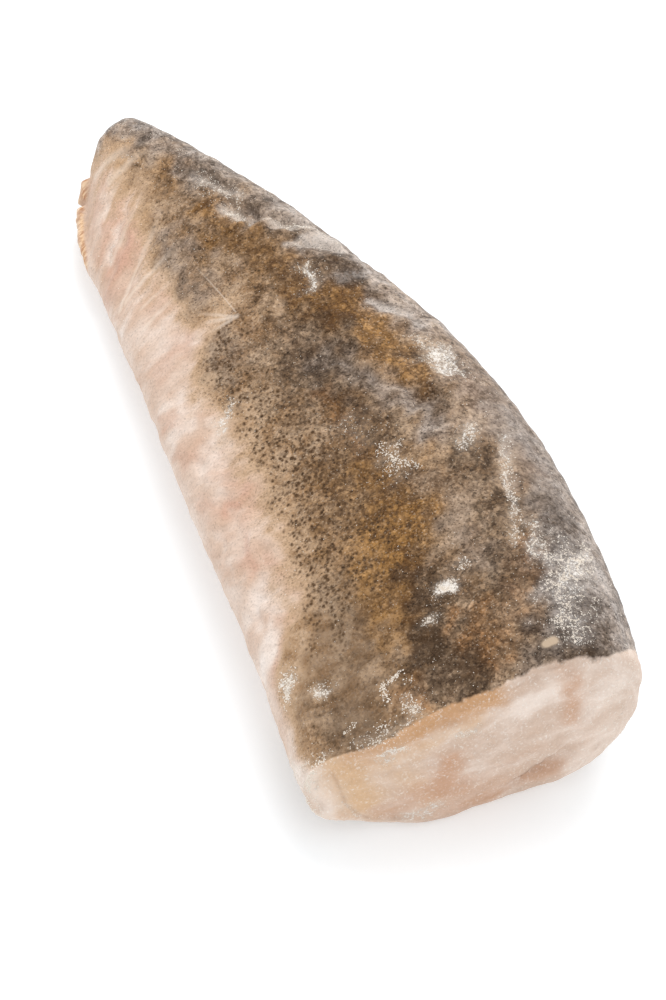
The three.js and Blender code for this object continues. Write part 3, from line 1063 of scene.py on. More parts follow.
    def ease(self, value: Value, low: Value, high: Value) -> Socket:
        """Smooth step from 0 at low to 1 at high; low may be the larger one."""
        inputs, kind = {"Value": value, "From Min": low, "From Max": high}, "SMOOTHSTEP"
        return self.node("ShaderNodeMapRange", inputs, interpolation_type=kind).outputs["Result"]

    def span(self, value: Value, low: float, high: float) -> Socket:
        """A number from 0 to 1 stretched to a span."""
        inputs = {"Value": value, "To Min": low, "To Max": high}
        return self.node("ShaderNodeMapRange", inputs).outputs["Result"]

    def lerp(self, share: Value, first: Value, second: Value) -> Socket:
        """Two numbers mixed by a share of the second."""
        return self.node("ShaderNodeMix", {0: share, 2: first, 3: second}).outputs[0]

    def mix(self, share: Value, first: Value, second: Value, how: Blend = Blend.MIX) -> Socket:
        """Two colours, the second laid over the first by a share.

        Args:
            share: share of the second one.
            first: the first colour.
            second: the second colour.
            how: how the second one is laid on.

        Returns:
            The colour.
        """
        node = self.node("ShaderNodeMix", {}, data_type="RGBA", blend_type=how.value)
        self.feed(node.inputs[0], share)
        self.feed(node.inputs[6], first)
        self.feed(node.inputs[7], second)
        return node.outputs[2]

    def shade(self, colour: Value, level: Socket) -> Socket:
        """A colour with each of its parts multiplied by a level."""
        grey = self.node("ShaderNodeCombineColor", {"Red": level, "Green": level, "Blue": level})
        return self.mix(1.0, colour, grey.outputs["Color"], Blend.MULTIPLY)

    def bump(self, height: Socket, depth: float) -> None:
        """Small relief on the surface shader, of a depth in millimetres."""
        inputs = {"Height": height, "Distance": depth * MILLIMETRE}
        self.set("Normal", self.node("ShaderNodeBump", inputs).outputs["Normal"])


@dataclass(frozen=True)
class SkinFinish:
    """Skin, belly, cut flesh and frost glaze as one finish with masks.

    The steps are sizes of patterns in millimetres: one for all axes of the fish,
    or one for each axis of the unrolled skin, of which the third has no effect.
    """

    # Colours of the skin.
    tan: Colour = paint(191, 161, 131)
    brown: Colour = paint(164, 128, 92)
    ochre: Colour = paint(185, 138, 80)
    rust: Colour = paint(174, 123, 74)
    cool: Colour = paint(160, 147, 138)
    dark: Colour = paint(51, 37, 25)
    dark_warm: Colour = paint(74, 46, 20)
    dot: Colour = paint(80, 58, 37)
    # Painted glints: pale highlights laid on the skin's colour.
    painted_glint: Colour = paint(214, 193, 170)
    # Pale bloom, also the colour of painted sheen.
    bloom_and_sheen: Colour = paint(210, 202, 197)
    # Silver of the painted sheen on the fold ridges.
    fold: Colour = paint(220, 209, 200)
    scar: Colour = paint(236, 220, 204)
    nodule: Colour = paint(184, 163, 140)
    # Colours of the belly, the cut flesh, the frost and the dried fin.
    belly: Colour = paint(204, 174, 152)
    belly_edge: Colour = paint(192, 161, 131)
    # White of the belly's patches, also its painted light toward the outer edge.
    belly_white: Colour = paint(244, 233, 225)
    belly_pink: Colour = paint(200, 160, 139)
    flesh: Colour = paint(205, 180, 162)
    flesh_white: Colour = paint(236, 220, 208)
    flesh_cream: Colour = paint(214, 179, 143)
    flesh_orange: Colour = paint(199, 155, 115)
    # Pink of the flesh, also its painted shade.
    flesh_blush_and_shade: Colour = paint(198, 158, 131)
    flesh_shade: Colour = paint(150, 112, 88)
    frost: Colour = paint(246, 241, 234)
    haze: Colour = paint(222, 208, 192)
    stub: Colour = paint(232, 196, 156)
    stub_line: Colour = paint(168, 104, 54)
    stub_edge: Colour = paint(240, 219, 196)
    # Steps of the patterns.
    grain_step: float = 0.8
    mottle_step: float = 5.0
    cloud_step: float = 9.0
    speck_step: float = 2.2
    scale_step: Triple = (1.25, 0.95, 1.0)
    pit_step: float = 0.65
    dot_step: Triple = (1.9, 1.5, 1.0)
    dot_sway_step: float = 1.0
    network_step: Triple = (3.0, 2.5, 1.0)
    belly_streak_step: Triple = (22.0, 13.0, 1.0)
    belly_ribbon_step: Triple = (30.0, 6.5, 1.0)
    belly_fibre_step: Triple = (5.0, 1.8, 1.0)
    flesh_fibre_step: Triple = (18.0, 9.0, 1.0)
    flesh_spark_step: float = 0.7
    flesh_drift_step: float = 3.0
    stub_streak_step: Triple = (3.5, 1.4, 3.5)
    crumb_step: float = 1.5
    fine_crumb_step: float = 0.6
    # Gloss: roughness of skin and of frost, strength of reflections, depth of relief.
    roughness: Pair = (0.48, 0.75)
    reflection: float = 0.08
    relief: float = 0.16
    # What the lines are drawn from.
    form: TrunkForm = field(default_factory=TrunkForm)
    marks: Marks = field(default_factory=Marks)
    face_marks: FaceMarks = field(default_factory=FaceMarks)

    def material(self) -> bpy.types.Material:
        """Builds the material from the masks stored on the mesh.

        Returns:
            The material.
        """
        bench = ShaderBench("frozen_skin")
        grain = bench.noise(bench.place(self.grain_step), 2.0, 0.65)
        mottle = bench.noise(bench.place(self.mottle_step), 4.0, 0.6, 0.4)
        skin = self._skin(bench, grain, mottle)
        skin = self._belly(bench, skin, mottle)
        skin = bench.mix(self._dots(bench), skin, self.dot)
        skin = self._specks(bench, skin, grain)
        skin = bench.mix(self._skin_lines(bench, self.marks.lines, True), skin, self.scar)
        skin = bench.mix(self._skin_lines(bench, self.marks.nodules, False), skin, self.nodule)
        skin = bench.mix(bench.mask(Mask.STUB), skin, self._stubs(bench))
        flesh = self._flesh(bench, grain, mottle)
        ragged = bench.add(bench.mask(Mask.RIM_GAP), bench.span(mottle, -1.6, 1.6))
        colour = bench.mix(bench.ease(ragged, 0.5, -0.5), skin, flesh)
        haze, frost = self._frost(bench, mottle)
        colour = bench.mix(haze, colour, bench.mix(bench.mask(Mask.COOL), self.haze, self.bloom_and_sheen))
        colour = bench.mix(frost, colour, self.frost)
        bench.set("Base Color", colour)
        bench.set("Roughness", bench.span(frost, *self.roughness))
        bench.set("Specular IOR Level", self.reflection)
        height = bench.add(grain, bench.times(frost, bench.span(grain, 0.2, 1.0)))
        bench.bump(height, self.relief)
        return bench.material

    def _dots(self, bench: ShaderBench) -> Socket:
        """Round dark dots, each of its own size, with wavering edges.

        Args:
            bench: where the nodes go.

        Returns:
            Their cover.
        """
        sway = bench.noise(bench.place(self.dot_sway_step), 1.0)
        distance, chance = bench.cells(bench.place(self.dot_step, -8.0, Ground.PLAN), 0.9)
        gap = bench.add(distance, bench.span(sway, -0.25, 0.25))
        gap = bench.add(gap, bench.span(chance, 0.08, -0.08))
        gap = bench.add(gap, bench.span(bench.mask(Mask.DOTS), 0.25, 0.0))
        share = bench.ease(bench.mask(Mask.DOTS), 0.0, 0.9)
        return bench.times(bench.ease(gap, 0.64, 0.14), share)

    def _network(self, bench: ShaderBench, grain: Socket) -> Socket:
        """Dark lines between pale cells.

        Args:
            bench: where the nodes go.
            grain: fine noise.

        Returns:
            Their cover.
        """
        where = bench.warp(bench.place(self.network_step, 20.0, Ground.PLAN), 1.4)
        gap = bench.add(bench.cell_edges(where), bench.span(grain, -0.12, 0.12))
        share = bench.times(bench.mask(Mask.NETWORK), 0.58)
        return bench.times(bench.ease(gap, 0.24, 0.02), share)

    def _skin(self, bench: ShaderBench, grain: Socket, mottle: Socket) -> Socket:
        """Mottled ground, darkened in patches, with a pale bloom and painted sheen along the back's edge
        and the fold ridges.

        Args:
            bench: where the nodes go.
            grain: fine noise.
            mottle: coarse noise.

        Returns:
            The colour.
        """
        cloud = bench.noise(bench.place(self.cloud_step), 4.0, 0.65, 0.5)
        colour = bench.mix(bench.ease(cloud, 0.35, 0.65), self.brown, self.tan)
        colour = bench.mix(bench.times(bench.ease(grain, 0.5, 0.8), 0.5), colour, self.cool)
        patches = ((Mask.COOL, self.cool), (Mask.OCHRE, self.ochre), (Mask.RUST, self.rust))
        for mask, tone in patches:
            edge = bench.add(bench.mask(mask), bench.span(mottle, -0.3, 0.3))
            colour = bench.mix(bench.ease(edge, 0.0, 1.1), colour, tone)
        # Pale bloom, and painted sheen along the back's edge and the fold ridges.
        hazy = bench.times(bench.mask(Mask.BLOOM_AND_SHEEN), bench.span(mottle, 0.3, 1.2))
        colour = bench.mix(hazy, colour, self.bloom_and_sheen)
        golden = bench.greater(bench.mask(Mask.OCHRE), bench.mask(Mask.RUST))
        deep = bench.mix(golden, self.dark, self.dark_warm)
        depth = self._depth(bench, grain, cloud)
        colour = bench.mix(bench.times(bench.ease(depth, -0.15, 1.2), 0.92), colour, deep)
        colour = bench.mix(self._network(bench, grain), colour, deep)
        # Painted sheen: silver over the strongest bloom strokes, then along the fold ridges.
        pale = bench.ease(bench.mask(Mask.BLOOM_AND_SHEEN), 0.6, 1.05)
        pale = bench.times(pale, bench.span(mottle, 0.0, 0.3))
        colour = bench.mix(pale, colour, self.fold)
        folds = self._skin_lines(bench, self.marks.folds, False)
        return bench.mix(bench.times(folds, bench.span(mottle, 0.4, 1.4)), colour, self.fold)

    def _depth(self, bench: ShaderBench, grain: Socket, cloud: Socket) -> Socket:
        """Darkness of the skin, broken up by clouds, specks, scales and grain.

        Args:
            bench: where the nodes go.
            grain: fine noise.
            cloud: noise of broad clouds, of less effect among the dots.

        Returns:
            A number that is about 0 on plain skin and 1 on dark skin.
        """
        speck = bench.noise(bench.place(self.speck_step), 4.0, 0.65)
        _, scale = bench.cells(bench.place(self.scale_step, 14.0, Ground.PLAN))
        uneven = bench.add(bench.span(speck, -0.7, 0.7), bench.span(scale, -0.2, 0.2))
        uneven = bench.add(uneven, bench.span(grain, -0.4, 0.4))
        patchy = bench.span(bench.mask(Mask.DOTS), 1.0, 0.3)
        uneven = bench.add(uneven, bench.times(bench.span(cloud, 0.7, -0.7), patchy))
        return bench.add(bench.mask(Mask.DARK), bench.times(uneven, bench.mask(Mask.CRISP)))

    def _specks(self, bench: ShaderBench, colour: Socket, grain: Socket) -> Socket:
        """Pits and painted glints, pale highlights as fine as the skin's grain.

        Args:
            bench: where the nodes go.
            colour: colour of the skin.
            grain: fine noise.

        Returns:
            The speckled colour.
        """
        fine = bench.noise(bench.place(self.pit_step), 1.0, 0.5)
        pits = bench.span(bench.ease(fine, 0.26, 0.44), 0.34, 1.0)
        pits = bench.times(pits, bench.span(bench.ease(grain, 0.3, 0.7), 0.8, 1.22))
        colour = bench.shade(colour, bench.lerp(bench.mask(Mask.CRISP), 1.0, pits))
        # Painted glints: pale highlight specks mixed into the colour.
        painted_glints = bench.ease(fine, 0.58, 0.8)
        painted_glints = bench.times(painted_glints, bench.span(bench.mask(Mask.DARK), 0.55, 0.2))
        return bench.mix(bench.times(painted_glints, bench.mask(Mask.CRISP)), colour, self.painted_glint)

    def _belly(self, bench: ShaderBench, skin: Socket, mottle: Socket) -> Socket:
        """Pale belly skin, tan along its border, with white and pink patches and painted light whitening
        its outer edge.

        Args:
            bench: where the nodes go.
            skin: colour of the skin beside the belly.
            mottle: coarse noise.

        Returns:
            The colour of both.
        """
        streak = bench.place(self.belly_streak_step, 50.0, Ground.PLAN)
        streak = bench.noise(streak, 4.0, 0.6, 0.4)
        ribbon = bench.place(self.belly_ribbon_step, 78.0, Ground.PLAN)
        ribbon = bench.noise(ribbon, 3.0, 0.5, 0.6)
        fibre = bench.place(self.belly_fibre_step, 70.0, Ground.PLAN)
        fibre = bench.noise(fibre, 3.0, 0.6, 0.5)
        streaky = bench.mask(Mask.STREAKY)
        # The white mask also holds painted light toward the belly's outer edge.
        pale = bench.add(bench.mask(Mask.WHITE), bench.span(streak, -0.6, 0.6))
        pale = bench.add(pale, bench.times(bench.span(ribbon, -0.5, 0.5), streaky))
        colour = bench.mix(bench.ease(pale, -0.3, 1.3), self.belly, self.belly_white)
        rosy = bench.add(bench.mask(Mask.PINK), bench.span(streak, 0.6, -0.6))
        colour = bench.mix(bench.ease(rosy, -0.1, 1.2), colour, self.belly_pink)
        colour = bench.shade(colour, bench.span(bench.ease(fibre, 0.3, 0.7), 0.95, 1.04))
        wavy = bench.add(bench.span(ribbon, -0.6, 0.6), bench.span(mottle, -0.4, 0.4))
        edge = bench.add(bench.mask(Mask.BELLY), bench.times(wavy, streaky))
        edge = bench.add(edge, bench.span(fibre, -0.15, 0.15))
        colour = bench.mix(bench.ease(edge, 0.3, 1.0), self.belly_edge, colour)
        return bench.mix(bench.ease(edge, 0.0, 0.7), skin, colour)

    def _flesh(self, bench: ShaderBench, grain: Socket, mottle: Socket) -> Socket:
        """Frozen flesh of the cut, cream to pink, orange under the skin's edge, with painted shade low on
        the cut and under the step.

        Args:
            bench: where the nodes go.
            grain: fine noise.
            mottle: coarse noise.

        Returns:
            The colour.
        """
        fibre = bench.place(self.flesh_fibre_step, 20.0, Ground.PLAN)
        fibre = bench.noise(fibre, 3.0, 0.5, 0.6)
        colour = bench.mix(bench.ease(fibre, 0.35, 0.85), self.flesh, self.flesh_white)
        # The blush mask also lays painted shade low on the cut and under the step.
        for mask, tone in (
            (Mask.PALE, self.flesh_white),
            (Mask.CREAM, self.flesh_cream),
            (Mask.BLUSH_AND_SHADE, self.flesh_blush_and_shade),
            (Mask.ORANGE, self.flesh_orange),
        ):
            edge = bench.add(bench.mask(mask), bench.span(mottle, -0.22, 0.22))
            colour = bench.mix(bench.ease(edge, -0.05, 1.05), colour, tone)
        spark = bench.noise(bench.place(self.flesh_spark_step), 2.0, 0.6)
        drift = bench.noise(bench.place(self.flesh_drift_step), 4.0, 0.65)
        drift = bench.span(bench.ease(drift, 0.35, 0.65), 0.1, 0.6)
        colour = bench.mix(bench.times(bench.ease(spark, 0.5, 0.75), drift), colour, self.frost)
        colour = bench.shade(colour, bench.span(grain, 0.88, 1.11))
        crease = [
            (*((x + CUT_PLAN_SHIFT, z) for x, z in (line.start, line.end)), line)
            for line in self.face_marks.crease
        ]
        return bench.mix(self._lines(bench, crease, False), colour, self.flesh_shade)

    def _stubs(self, bench: ShaderBench) -> Socket:
        """Dried fin: pale orange with browner streaks, paler where it stands out furthest.

        Args:
            bench: where the nodes go.

        Returns:
            The colour.
        """
        streak = bench.noise(bench.place(self.stub_streak_step), 3.0, 0.6)
        tone = bench.mix(bench.ease(streak, 0.4, 0.6), self.stub, self.stub_line)
        return bench.mix(bench.times(bench.mask(Mask.STUB_TIP), 0.55), tone, self.stub_edge)

    def _lines(
        self, bench: ShaderBench, lines: list[tuple[Place, Place, Stroke]], fading: bool
    ) -> Socket:
        """Joint cover of thin lines.

        Args:
            bench: where the nodes go.
            lines: both ends on the plan in millimetres, and the stroke's own sizes.
            fading: True for lines that fade toward their far ends.

        Returns:
            The cover.
        """
        cover: Value = 0.0
        for start, end, line in lines:
            gap, share = bench.line_gap(start, end)
            soft = bench.times(bench.ease(gap, line.width, 0.0), line.strength)
            if fading:
                soft = bench.times(soft, bench.ease(share, 1.0, 0.2))
            cover = bench.greater(cover, soft)
        return cover

    def _skin_lines(self, bench: ShaderBench, lines: Strokes, fading: bool) -> Socket:
        """Joint cover of thin lines on the unrolled skin."""
        place = self.form.unrolled
        return self._lines(bench, [(place(*s.start), place(*s.end), s) for s in lines], fading)

    def _frost(self, bench: ShaderBench, mottle: Socket) -> tuple[Socket, Socket]:
        """Frost: a thin haze, and crumbs that close up where the mask is high.

        Args:
            bench: where the nodes go.
            mottle: coarse noise.

        Returns:
            Cover of the haze and of the crumbs.
        """
        amount = bench.mask(Mask.FROST)
        rough = bench.noise(bench.place(self.crumb_step), 5.0, 0.75, 0.6)
        fine = bench.noise(bench.place(self.fine_crumb_step), 2.0, 0.6)
        uneven = bench.add(bench.span(rough, -1.7, 1.7), bench.span(fine, -0.8, 0.8))
        edge = bench.add(bench.times(amount, 0.95), uneven)
        crumbs = bench.times(bench.ease(edge, 0.65, 1.1), 0.75)
        return bench.times(amount, bench.span(mottle, 0.05, 0.55)), crumbs


@dataclass(frozen=True)
class GrainFinish:
    """White frost, a little greyer in places."""

    white: Colour = paint(244, 237, 227)
    grey: Colour = paint(222, 210, 196)
    tint_step: float = 3.0
    roughness: float = 0.5
    reflection: float = 0.2

    def material(self) -> bpy.types.Material:
        """Builds the material.

        Returns:
            The material.
        """
        bench = ShaderBench("frost_grain")
        tint = bench.noise(bench.place(self.tint_step), 2.0)
        bench.set("Base Color", bench.mix(tint, self.white, self.grey))
        bench.set("Roughness", self.roughness)
        bench.set("Specular IOR Level", self.reflection)
        return bench.material


@dataclass(frozen=True)
class FloorFinish:
    """Plain white floor."""

    white: Colour = (0.79, 0.82, 0.845)
    glow_colour: Colour = (1.0, 1.0, 1.0)
    glow: float = 0.29
    roughness: float = 0.9
    reflection: float = 0.1

    def material(self) -> bpy.types.Material:
        """Builds the material.

        Returns:
            The material.
        """
        bench = ShaderBench("floor")
        bench.set("Base Color", self.white)
        bench.set("Roughness", self.roughness)
        bench.set("Specular IOR Level", self.reflection)
        bench.set("Emission Color", self.glow_colour)
        bench.set("Emission Strength", self.glow)
        return bench.material


@dataclass
class HakeTrunk:
    """The visible trunk: a fine closed surface with relief and masks.

    Rows of points run from the heart of the cut to the middle of the tail's end;
    columns run round the body.

    Attributes:
        turns: how many columns there are.
        crowding: how far columns crowd toward the crown, in radians.
        face_rings: rows of the cut face.
        face_spacing: power that spaces them; below one they crowd toward the rim.
        trunk_rings: rows of the skin.
        ring_crowding: how far these crowd toward both ends, in shares of the length.
        tail_rings: rows of the tail's end.
        border_blur: half width of the belly's edge, in degrees.
        usual_darkness: darkness of skin without marks.
        fold_height: height of a fold of strength one, in millimetres.
        crust_height: height of the frost's crust, in millimetres.
        grounding: heights between which relief dies away toward the floor.
        sway_share: how far a stroke's edge sways, in shares of its width.
        sway_limit: how far it sways at most, in millimetres.
        edge_ripples: sway of strokes on the skin, along and around.
        face_ripples: sway of strokes on the cut face.
        border_ripples: sway of the belly's edge, in degrees.
        lumps: low lumps all over.
        crust_ripples: unevenness of the frost's crust, in shares of its height.
        flesh_lumps: lumps of the cut flesh.
    """

    form: TrunkForm = field(default_factory=TrunkForm)
    marks: Marks = field(default_factory=Marks)
    face_marks: FaceMarks = field(default_factory=FaceMarks)
    turns: int = 224
    crowding: float = 0.5
    face_rings: int = 46
    face_spacing: float = 0.8
    trunk_rings: int = 340
    ring_crowding: float = 0.07
    tail_rings: int = 10
    border_blur: float = 15.0
    usual_darkness: float = 0.48
    fold_height: float = 1.6
    crust_height: float = 0.35
    grounding: Pair = (0.3, 4.0)
    sway_share: float = 0.4
    sway_limit: float = 1.6
    edge_ripples: tuple[Ripples, Ripples] = (Ripples(7.0, 3), Ripples(7.0, 4))
    face_ripples: Ripples = Ripples(7.0, 5, 0.5)
    border_ripples: tuple[Ripples, ...] = (Ripples(16.0, 6, 2.0), Ripples(5.0, 7, 1.2))
    lumps: tuple[Ripples, ...] = (Ripples(11.0, 11, 0.14), Ripples(4.5, 12, 0.07))
    crust_ripples: Ripples = Ripples(2.2, 13, 0.5)
    flesh_lumps: tuple[Ripples, ...] = (Ripples(9.0, 14, 0.3), Ripples(3.5, 15, 0.12))

    # Grids that the build fills, one number or point for each row and column.
    points: np.ndarray = unset()
    along: np.ndarray = unset()
    degrees: np.ndarray = unset()
    on_face: np.ndarray = unset()
    rim_gap: np.ndarray = unset()
    round_it: np.ndarray = unset()
    stub: np.ndarray = unset()
    stub_tip: np.ndarray = unset()
    warp: tuple[np.ndarray, np.ndarray] = unset()
    masks: dict[Mask, np.ndarray] = unset()
    # Angles of the columns, shares of the skin's rows, its row numbers and the offset.
    angle: np.ndarray = unset()
    run: np.ndarray = unset()
    first_skin: int = unset()
    last_skin: int = unset()
    offset: np.ndarray = unset()

    def build(self, low: Vector, high: Vector) -> bpy.types.Object:
        """Builds the trunk and fits it to the CAD box.

        Args:
            low: lowest corner of the CAD node, in metres.
            high: highest corner of the CAD node, in metres.

        Returns:
            The object.
        """
        self._lay_grid()
        self._shift(low, high)
        self._push_out()
        self._masks()
        self._relieve()
        return self._mesh()

    def _lay_grid(self) -> None:
        """Lays the rows of points: cut face from its heart outward, skin, tail end inward.

        Even columns are crowded by a cosine of their angle, even rows by a sine.
        """
        form = self.form
        turn = 2.0 * np.pi * np.linspace(0.0, 1.0, self.turns, endpoint=False)
        self.angle = turn + self.crowding * np.cos(turn)
        share_in = np.linspace(0.0, 1.0, self.face_rings + 1)[1:-1, None] ** self.face_spacing
        even = np.linspace(0.0, 1.0, self.trunk_rings)[:, None]
        run = even - self.ring_crowding * np.sin(2.0 * np.pi * even)
        share_out = np.linspace(1.0, 0.0, self.tail_rings + 1)[1:-1, None]
        angle = self.angle[None, :]
        face = form.cut_face(*np.broadcast_arrays(share_in, angle))
        trunk = form.skin(run, angle)
        tail = form.tail_end(*np.broadcast_arrays(share_out, angle))
        self.points = np.concatenate([face, trunk, tail])
        self.round_it = self._round_it()
        self.run = run[:, 0]
        self.first_skin = len(face)
        self.last_skin = len(face) + len(trunk) - 1
        wide = np.ones((1, self.turns))
        self.along = np.concatenate([0.0 * share_in, run, 1.0 + 0.0 * share_out]) * wide
        self.degrees = np.degrees(self.angle)[None] + 0.0 * self.along
        self.on_face = (np.arange(len(self.points)) < self.first_skin)[:, None] * wide
        inward = np.linalg.norm(face - trunk[:1], axis=-1)
        tail_side = np.full((len(tail), self.turns), form.length)
        self.rim_gap = np.concatenate([-inward, run * form.length * wide, tail_side])

    def _round_it(self) -> np.ndarray:
        """Lengths round the rows of points from the crown: sums of chords.

        Returns:
            Millimetres, with one column more than the points, where a row closes.
        """
        columns = np.arange(self.turns + 1) % self.turns
        chords = np.diff(self.points[:, columns][..., [0, 2]], axis=1)
        length = np.cumsum(np.linalg.norm(chords, axis=-1), axis=1)
        length = np.concatenate([np.zeros((len(length), 1)), length], 1)
        crown = np.interp(np.pi / 2.0, self.angle, np.arange(self.turns))
        left, over = int(crown), crown % 1.0
        return length - (length[:, [left]] * (1.0 - over) + length[:, [left + 1]] * over)

    def _shift(self, low: Vector, high: Vector) -> None:
        """Finds the offset that puts the plain points' box on the middle of the CAD box.

        Args:
            low: lowest corner of the CAD node, in metres.
            high: highest corner of the CAD node, in metres.
        """
        centre = np.array((low + high) / 2.0) / MILLIMETRE
        plain = self.points.reshape(-1, 3)
        own = (plain.min(0) + plain.max(0)) / 2.0
        self.offset = np.array([centre[0] - own[0], centre[1] - own[1], 0.0])

    def _push_out(self) -> None:
        """Pushes out the fin stubs and the swollen corner, and notes where the stubs are."""
        push = self.form.stub_push(self.points)
        push[: self.first_skin] = 0.0
        heading = np.array([*self.form.stub_heading, 0.0])
        heading /= np.linalg.norm(heading)
        self.points = self.points + push[..., None] * heading
        self.points = self.points + self.form.corner_swell(self.points)
        self.stub = ease(push, 0.7, 2.0)
        self.stub_tip = ease(push / push.max(), 0.4, 0.9)
        self.warp = tuple(ripples.at(self.points) for ripples in self.edge_ripples)

    def _skin_cover(self, bands: Strokes) -> np.ndarray:
        """Joint cover of strokes on the skin, their edges warped by ripples.

        What a stroke leaves bare is multiplied by what the next one leaves bare.

        Args:
            bands: the strokes.

        Returns:
            The cover, one number a point.
        """
        length = self.form.length
        radius = self.form.girth_radius(self.along)
        bare = np.ones_like(self.along)
        for stroke in bands:
            first = (self.along - stroke.start[0]) * length
            second = np.radians(half_turn(self.degrees - stroke.start[1])) * radius
            middle = self.form.girth_radius(np.array((stroke.start[0] + stroke.end[0]) / 2.0))
            run = (
                (stroke.end[0] - stroke.start[0]) * length,
                math.radians(stroke.end[1] - stroke.start[1]) * float(middle),
            )
            sway = min(self.sway_limit, self.sway_share * stroke.width)
            first, second = first + sway * self.warp[0], second + sway * self.warp[1]
            bare *= 1.0 - stroke.cover(first, second, run)
        return 1.0 - bare

    def _skin_sum(self, bands: Strokes) -> np.ndarray:
        """Summed cover of strokes on the skin, where a strength is a height."""
        return sum(s.strength * self._skin_cover((replace(s, strength=1.0),)) for s in bands)

    def _face_cover(self, bands: Strokes) -> np.ndarray:
        """Joint cover of strokes on the cut face, joined as those on the skin.

        Args:
            bands: the strokes, in millimetres across and up.

        Returns:
            The cover, one number a point.
        """
        bare = np.ones_like(self.along)
        warp = self.face_ripples.at(self.points)
        for stroke in bands:
            across = self.points[..., 0] - stroke.start[0] + warp
            up = self.points[..., 2] - stroke.start[1] - warp
            run = (stroke.end[0] - stroke.start[0], stroke.end[1] - stroke.start[1])
            bare *= 1.0 - stroke.cover(across, up, run)
        return (1.0 - bare) * (self.along < 0.02)

    def _masks(self) -> None:
        """Works out the numbers stored on the mesh for the finish."""
        marks, face_marks = self.marks, self.face_marks
        border = np.interp(self.along, *zip(*marks.border))
        mirrored = np.abs(half_turn(self.degrees))
        for ripples in self.border_ripples:
            mirrored = mirrored + ripples.at(self.points)
        past_border = mirrored - border
        blur = self.border_blur * (1.0 + 1.3 * ease(self.along, 0.72, 0.88))
        belly = ease(past_border / blur, -1.0, 1.0)
        dots = self._skin_cover(marks.dots) * ease(past_border, 9.0, -8.0)
        dark = self.usual_darkness * (1.0 - self._skin_cover(marks.bare))
        dark = dark * (1.0 - 0.5 * dots)
        dark = dark + (1.0 - dark) * self._skin_cover(marks.dark)
        calm = 1.0 - self._skin_cover(marks.calm)
        # White patches, and painted light that whitens the belly toward its outer edge.
        white = 0.65 * self._skin_cover(marks.white) + 0.3 * ease(mirrored, 148.0, 178.0)
        flesh_reach = np.interp(self.degrees % 360.0, *zip(*marks.flesh_reach))
        self.masks = {
            Mask.RIM_GAP: self.rim_gap - flesh_reach,
            Mask.BELLY: belly,
            Mask.STUB: self.stub,
            Mask.STUB_TIP: self.stub_tip,
            Mask.OCHRE: self._skin_cover(marks.ochre),
            Mask.RUST: self._skin_cover(marks.rust),
            Mask.COOL: self._skin_cover(marks.cool),
            Mask.PINK: self._skin_cover(marks.pink),
            Mask.WHITE: white,
            Mask.DOTS: dots,
            Mask.NETWORK: self._skin_cover(marks.network),
            Mask.DARK: dark * ease(past_border, 8.0, -18.0),
            Mask.CRISP: calm * (1.0 - 0.68 * belly),
            Mask.BLOOM_AND_SHEEN: self._skin_cover(marks.bloom_and_sheen),
            Mask.STREAKY: 0.25 + 0.75 * ease(self.along, 0.66, 0.86),
            Mask.ORANGE: self._face_cover(face_marks.orange),
            Mask.CREAM: self._face_cover(face_marks.cream),
            Mask.BLUSH_AND_SHADE: self._face_cover(face_marks.blush_and_shade),
            Mask.PALE: self._face_cover(face_marks.white),
            Mask.FROST: self._frost_cover(flesh_reach),
        }

    def _frost_cover(self, flesh_reach: np.ndarray) -> np.ndarray:
        """Frost on the skin and on the cut face, and a faint line of it on the low rim.

        Args:
            flesh_reach: how far bare flesh goes past the rim, in millimetres.

        Returns:
            The cover, one number a point.
        """
        frost = self._skin_cover(self.marks.frost) * (1.0 - self.on_face)
        low_edge = 0.25 * bell(self.rim_gap - 0.5 * flesh_reach, 2.5)
        low_edge = low_edge * ease(np.sin(np.radians(self.degrees)), 0.25, -0.1)
        glaze = np.maximum(self._face_cover(self.face_marks.glaze), low_edge)
        return np.maximum(frost, glaze)

    def normals(self) -> np.ndarray:
        """Outward unit normals: cross products of differences between neighbours.

        Returns:
            One vector a point.
        """
        along = np.gradient(self.points, axis=0)
        around = np.roll(self.points, -1, 1) - np.roll(self.points, 1, 1)
        normal = np.cross(around, along)
        length = np.linalg.norm(normal, axis=-1, keepdims=True)
        return normal / np.maximum(length, NEARLY_NOTHING)

    def spot(self, along: np.ndarray, degrees: np.ndarray) -> tuple[np.ndarray, np.ndarray]:
        """Where places on the skin lie on the grid.

        Args:
            along: shares of the length.
            degrees: degrees round the body.

        Returns:
            Rows and columns, with fractions.
        """
        row = self.first_skin + np.interp(along, self.run, np.arange(len(self.run)))
        turn = (np.radians(degrees) - self.angle[0]) % (2.0 * np.pi) + self.angle[0]
        ring = np.append(self.angle, self.angle[0] + 2.0 * np.pi)
        return row, np.interp(turn, ring, np.arange(len(ring)))

    def between(self, grid: np.ndarray, row: np.ndarray, column: np.ndarray) -> np.ndarray:
        """Values of a grid between its rows and columns, mixed along straight lines.

        Args:
            grid: vectors on the rows and columns of the trunk.
            row: rows with fractions.
            column: columns with fractions; they run on round the body.

        Returns:
            One vector a place.
        """
        low = np.clip(np.floor(row).astype(int), 0, len(grid) - 2)
        left = np.floor(column).astype(int)
        up, over = (row - low)[:, None], (column - left)[:, None]
        left, right = left % self.turns, (left + 1) % self.turns
        near = grid[low, left] * (1.0 - over) + grid[low, right] * over
        far = grid[low + 1, left] * (1.0 - over) + grid[low + 1, right] * over
        return near * (1.0 - up) + far * up

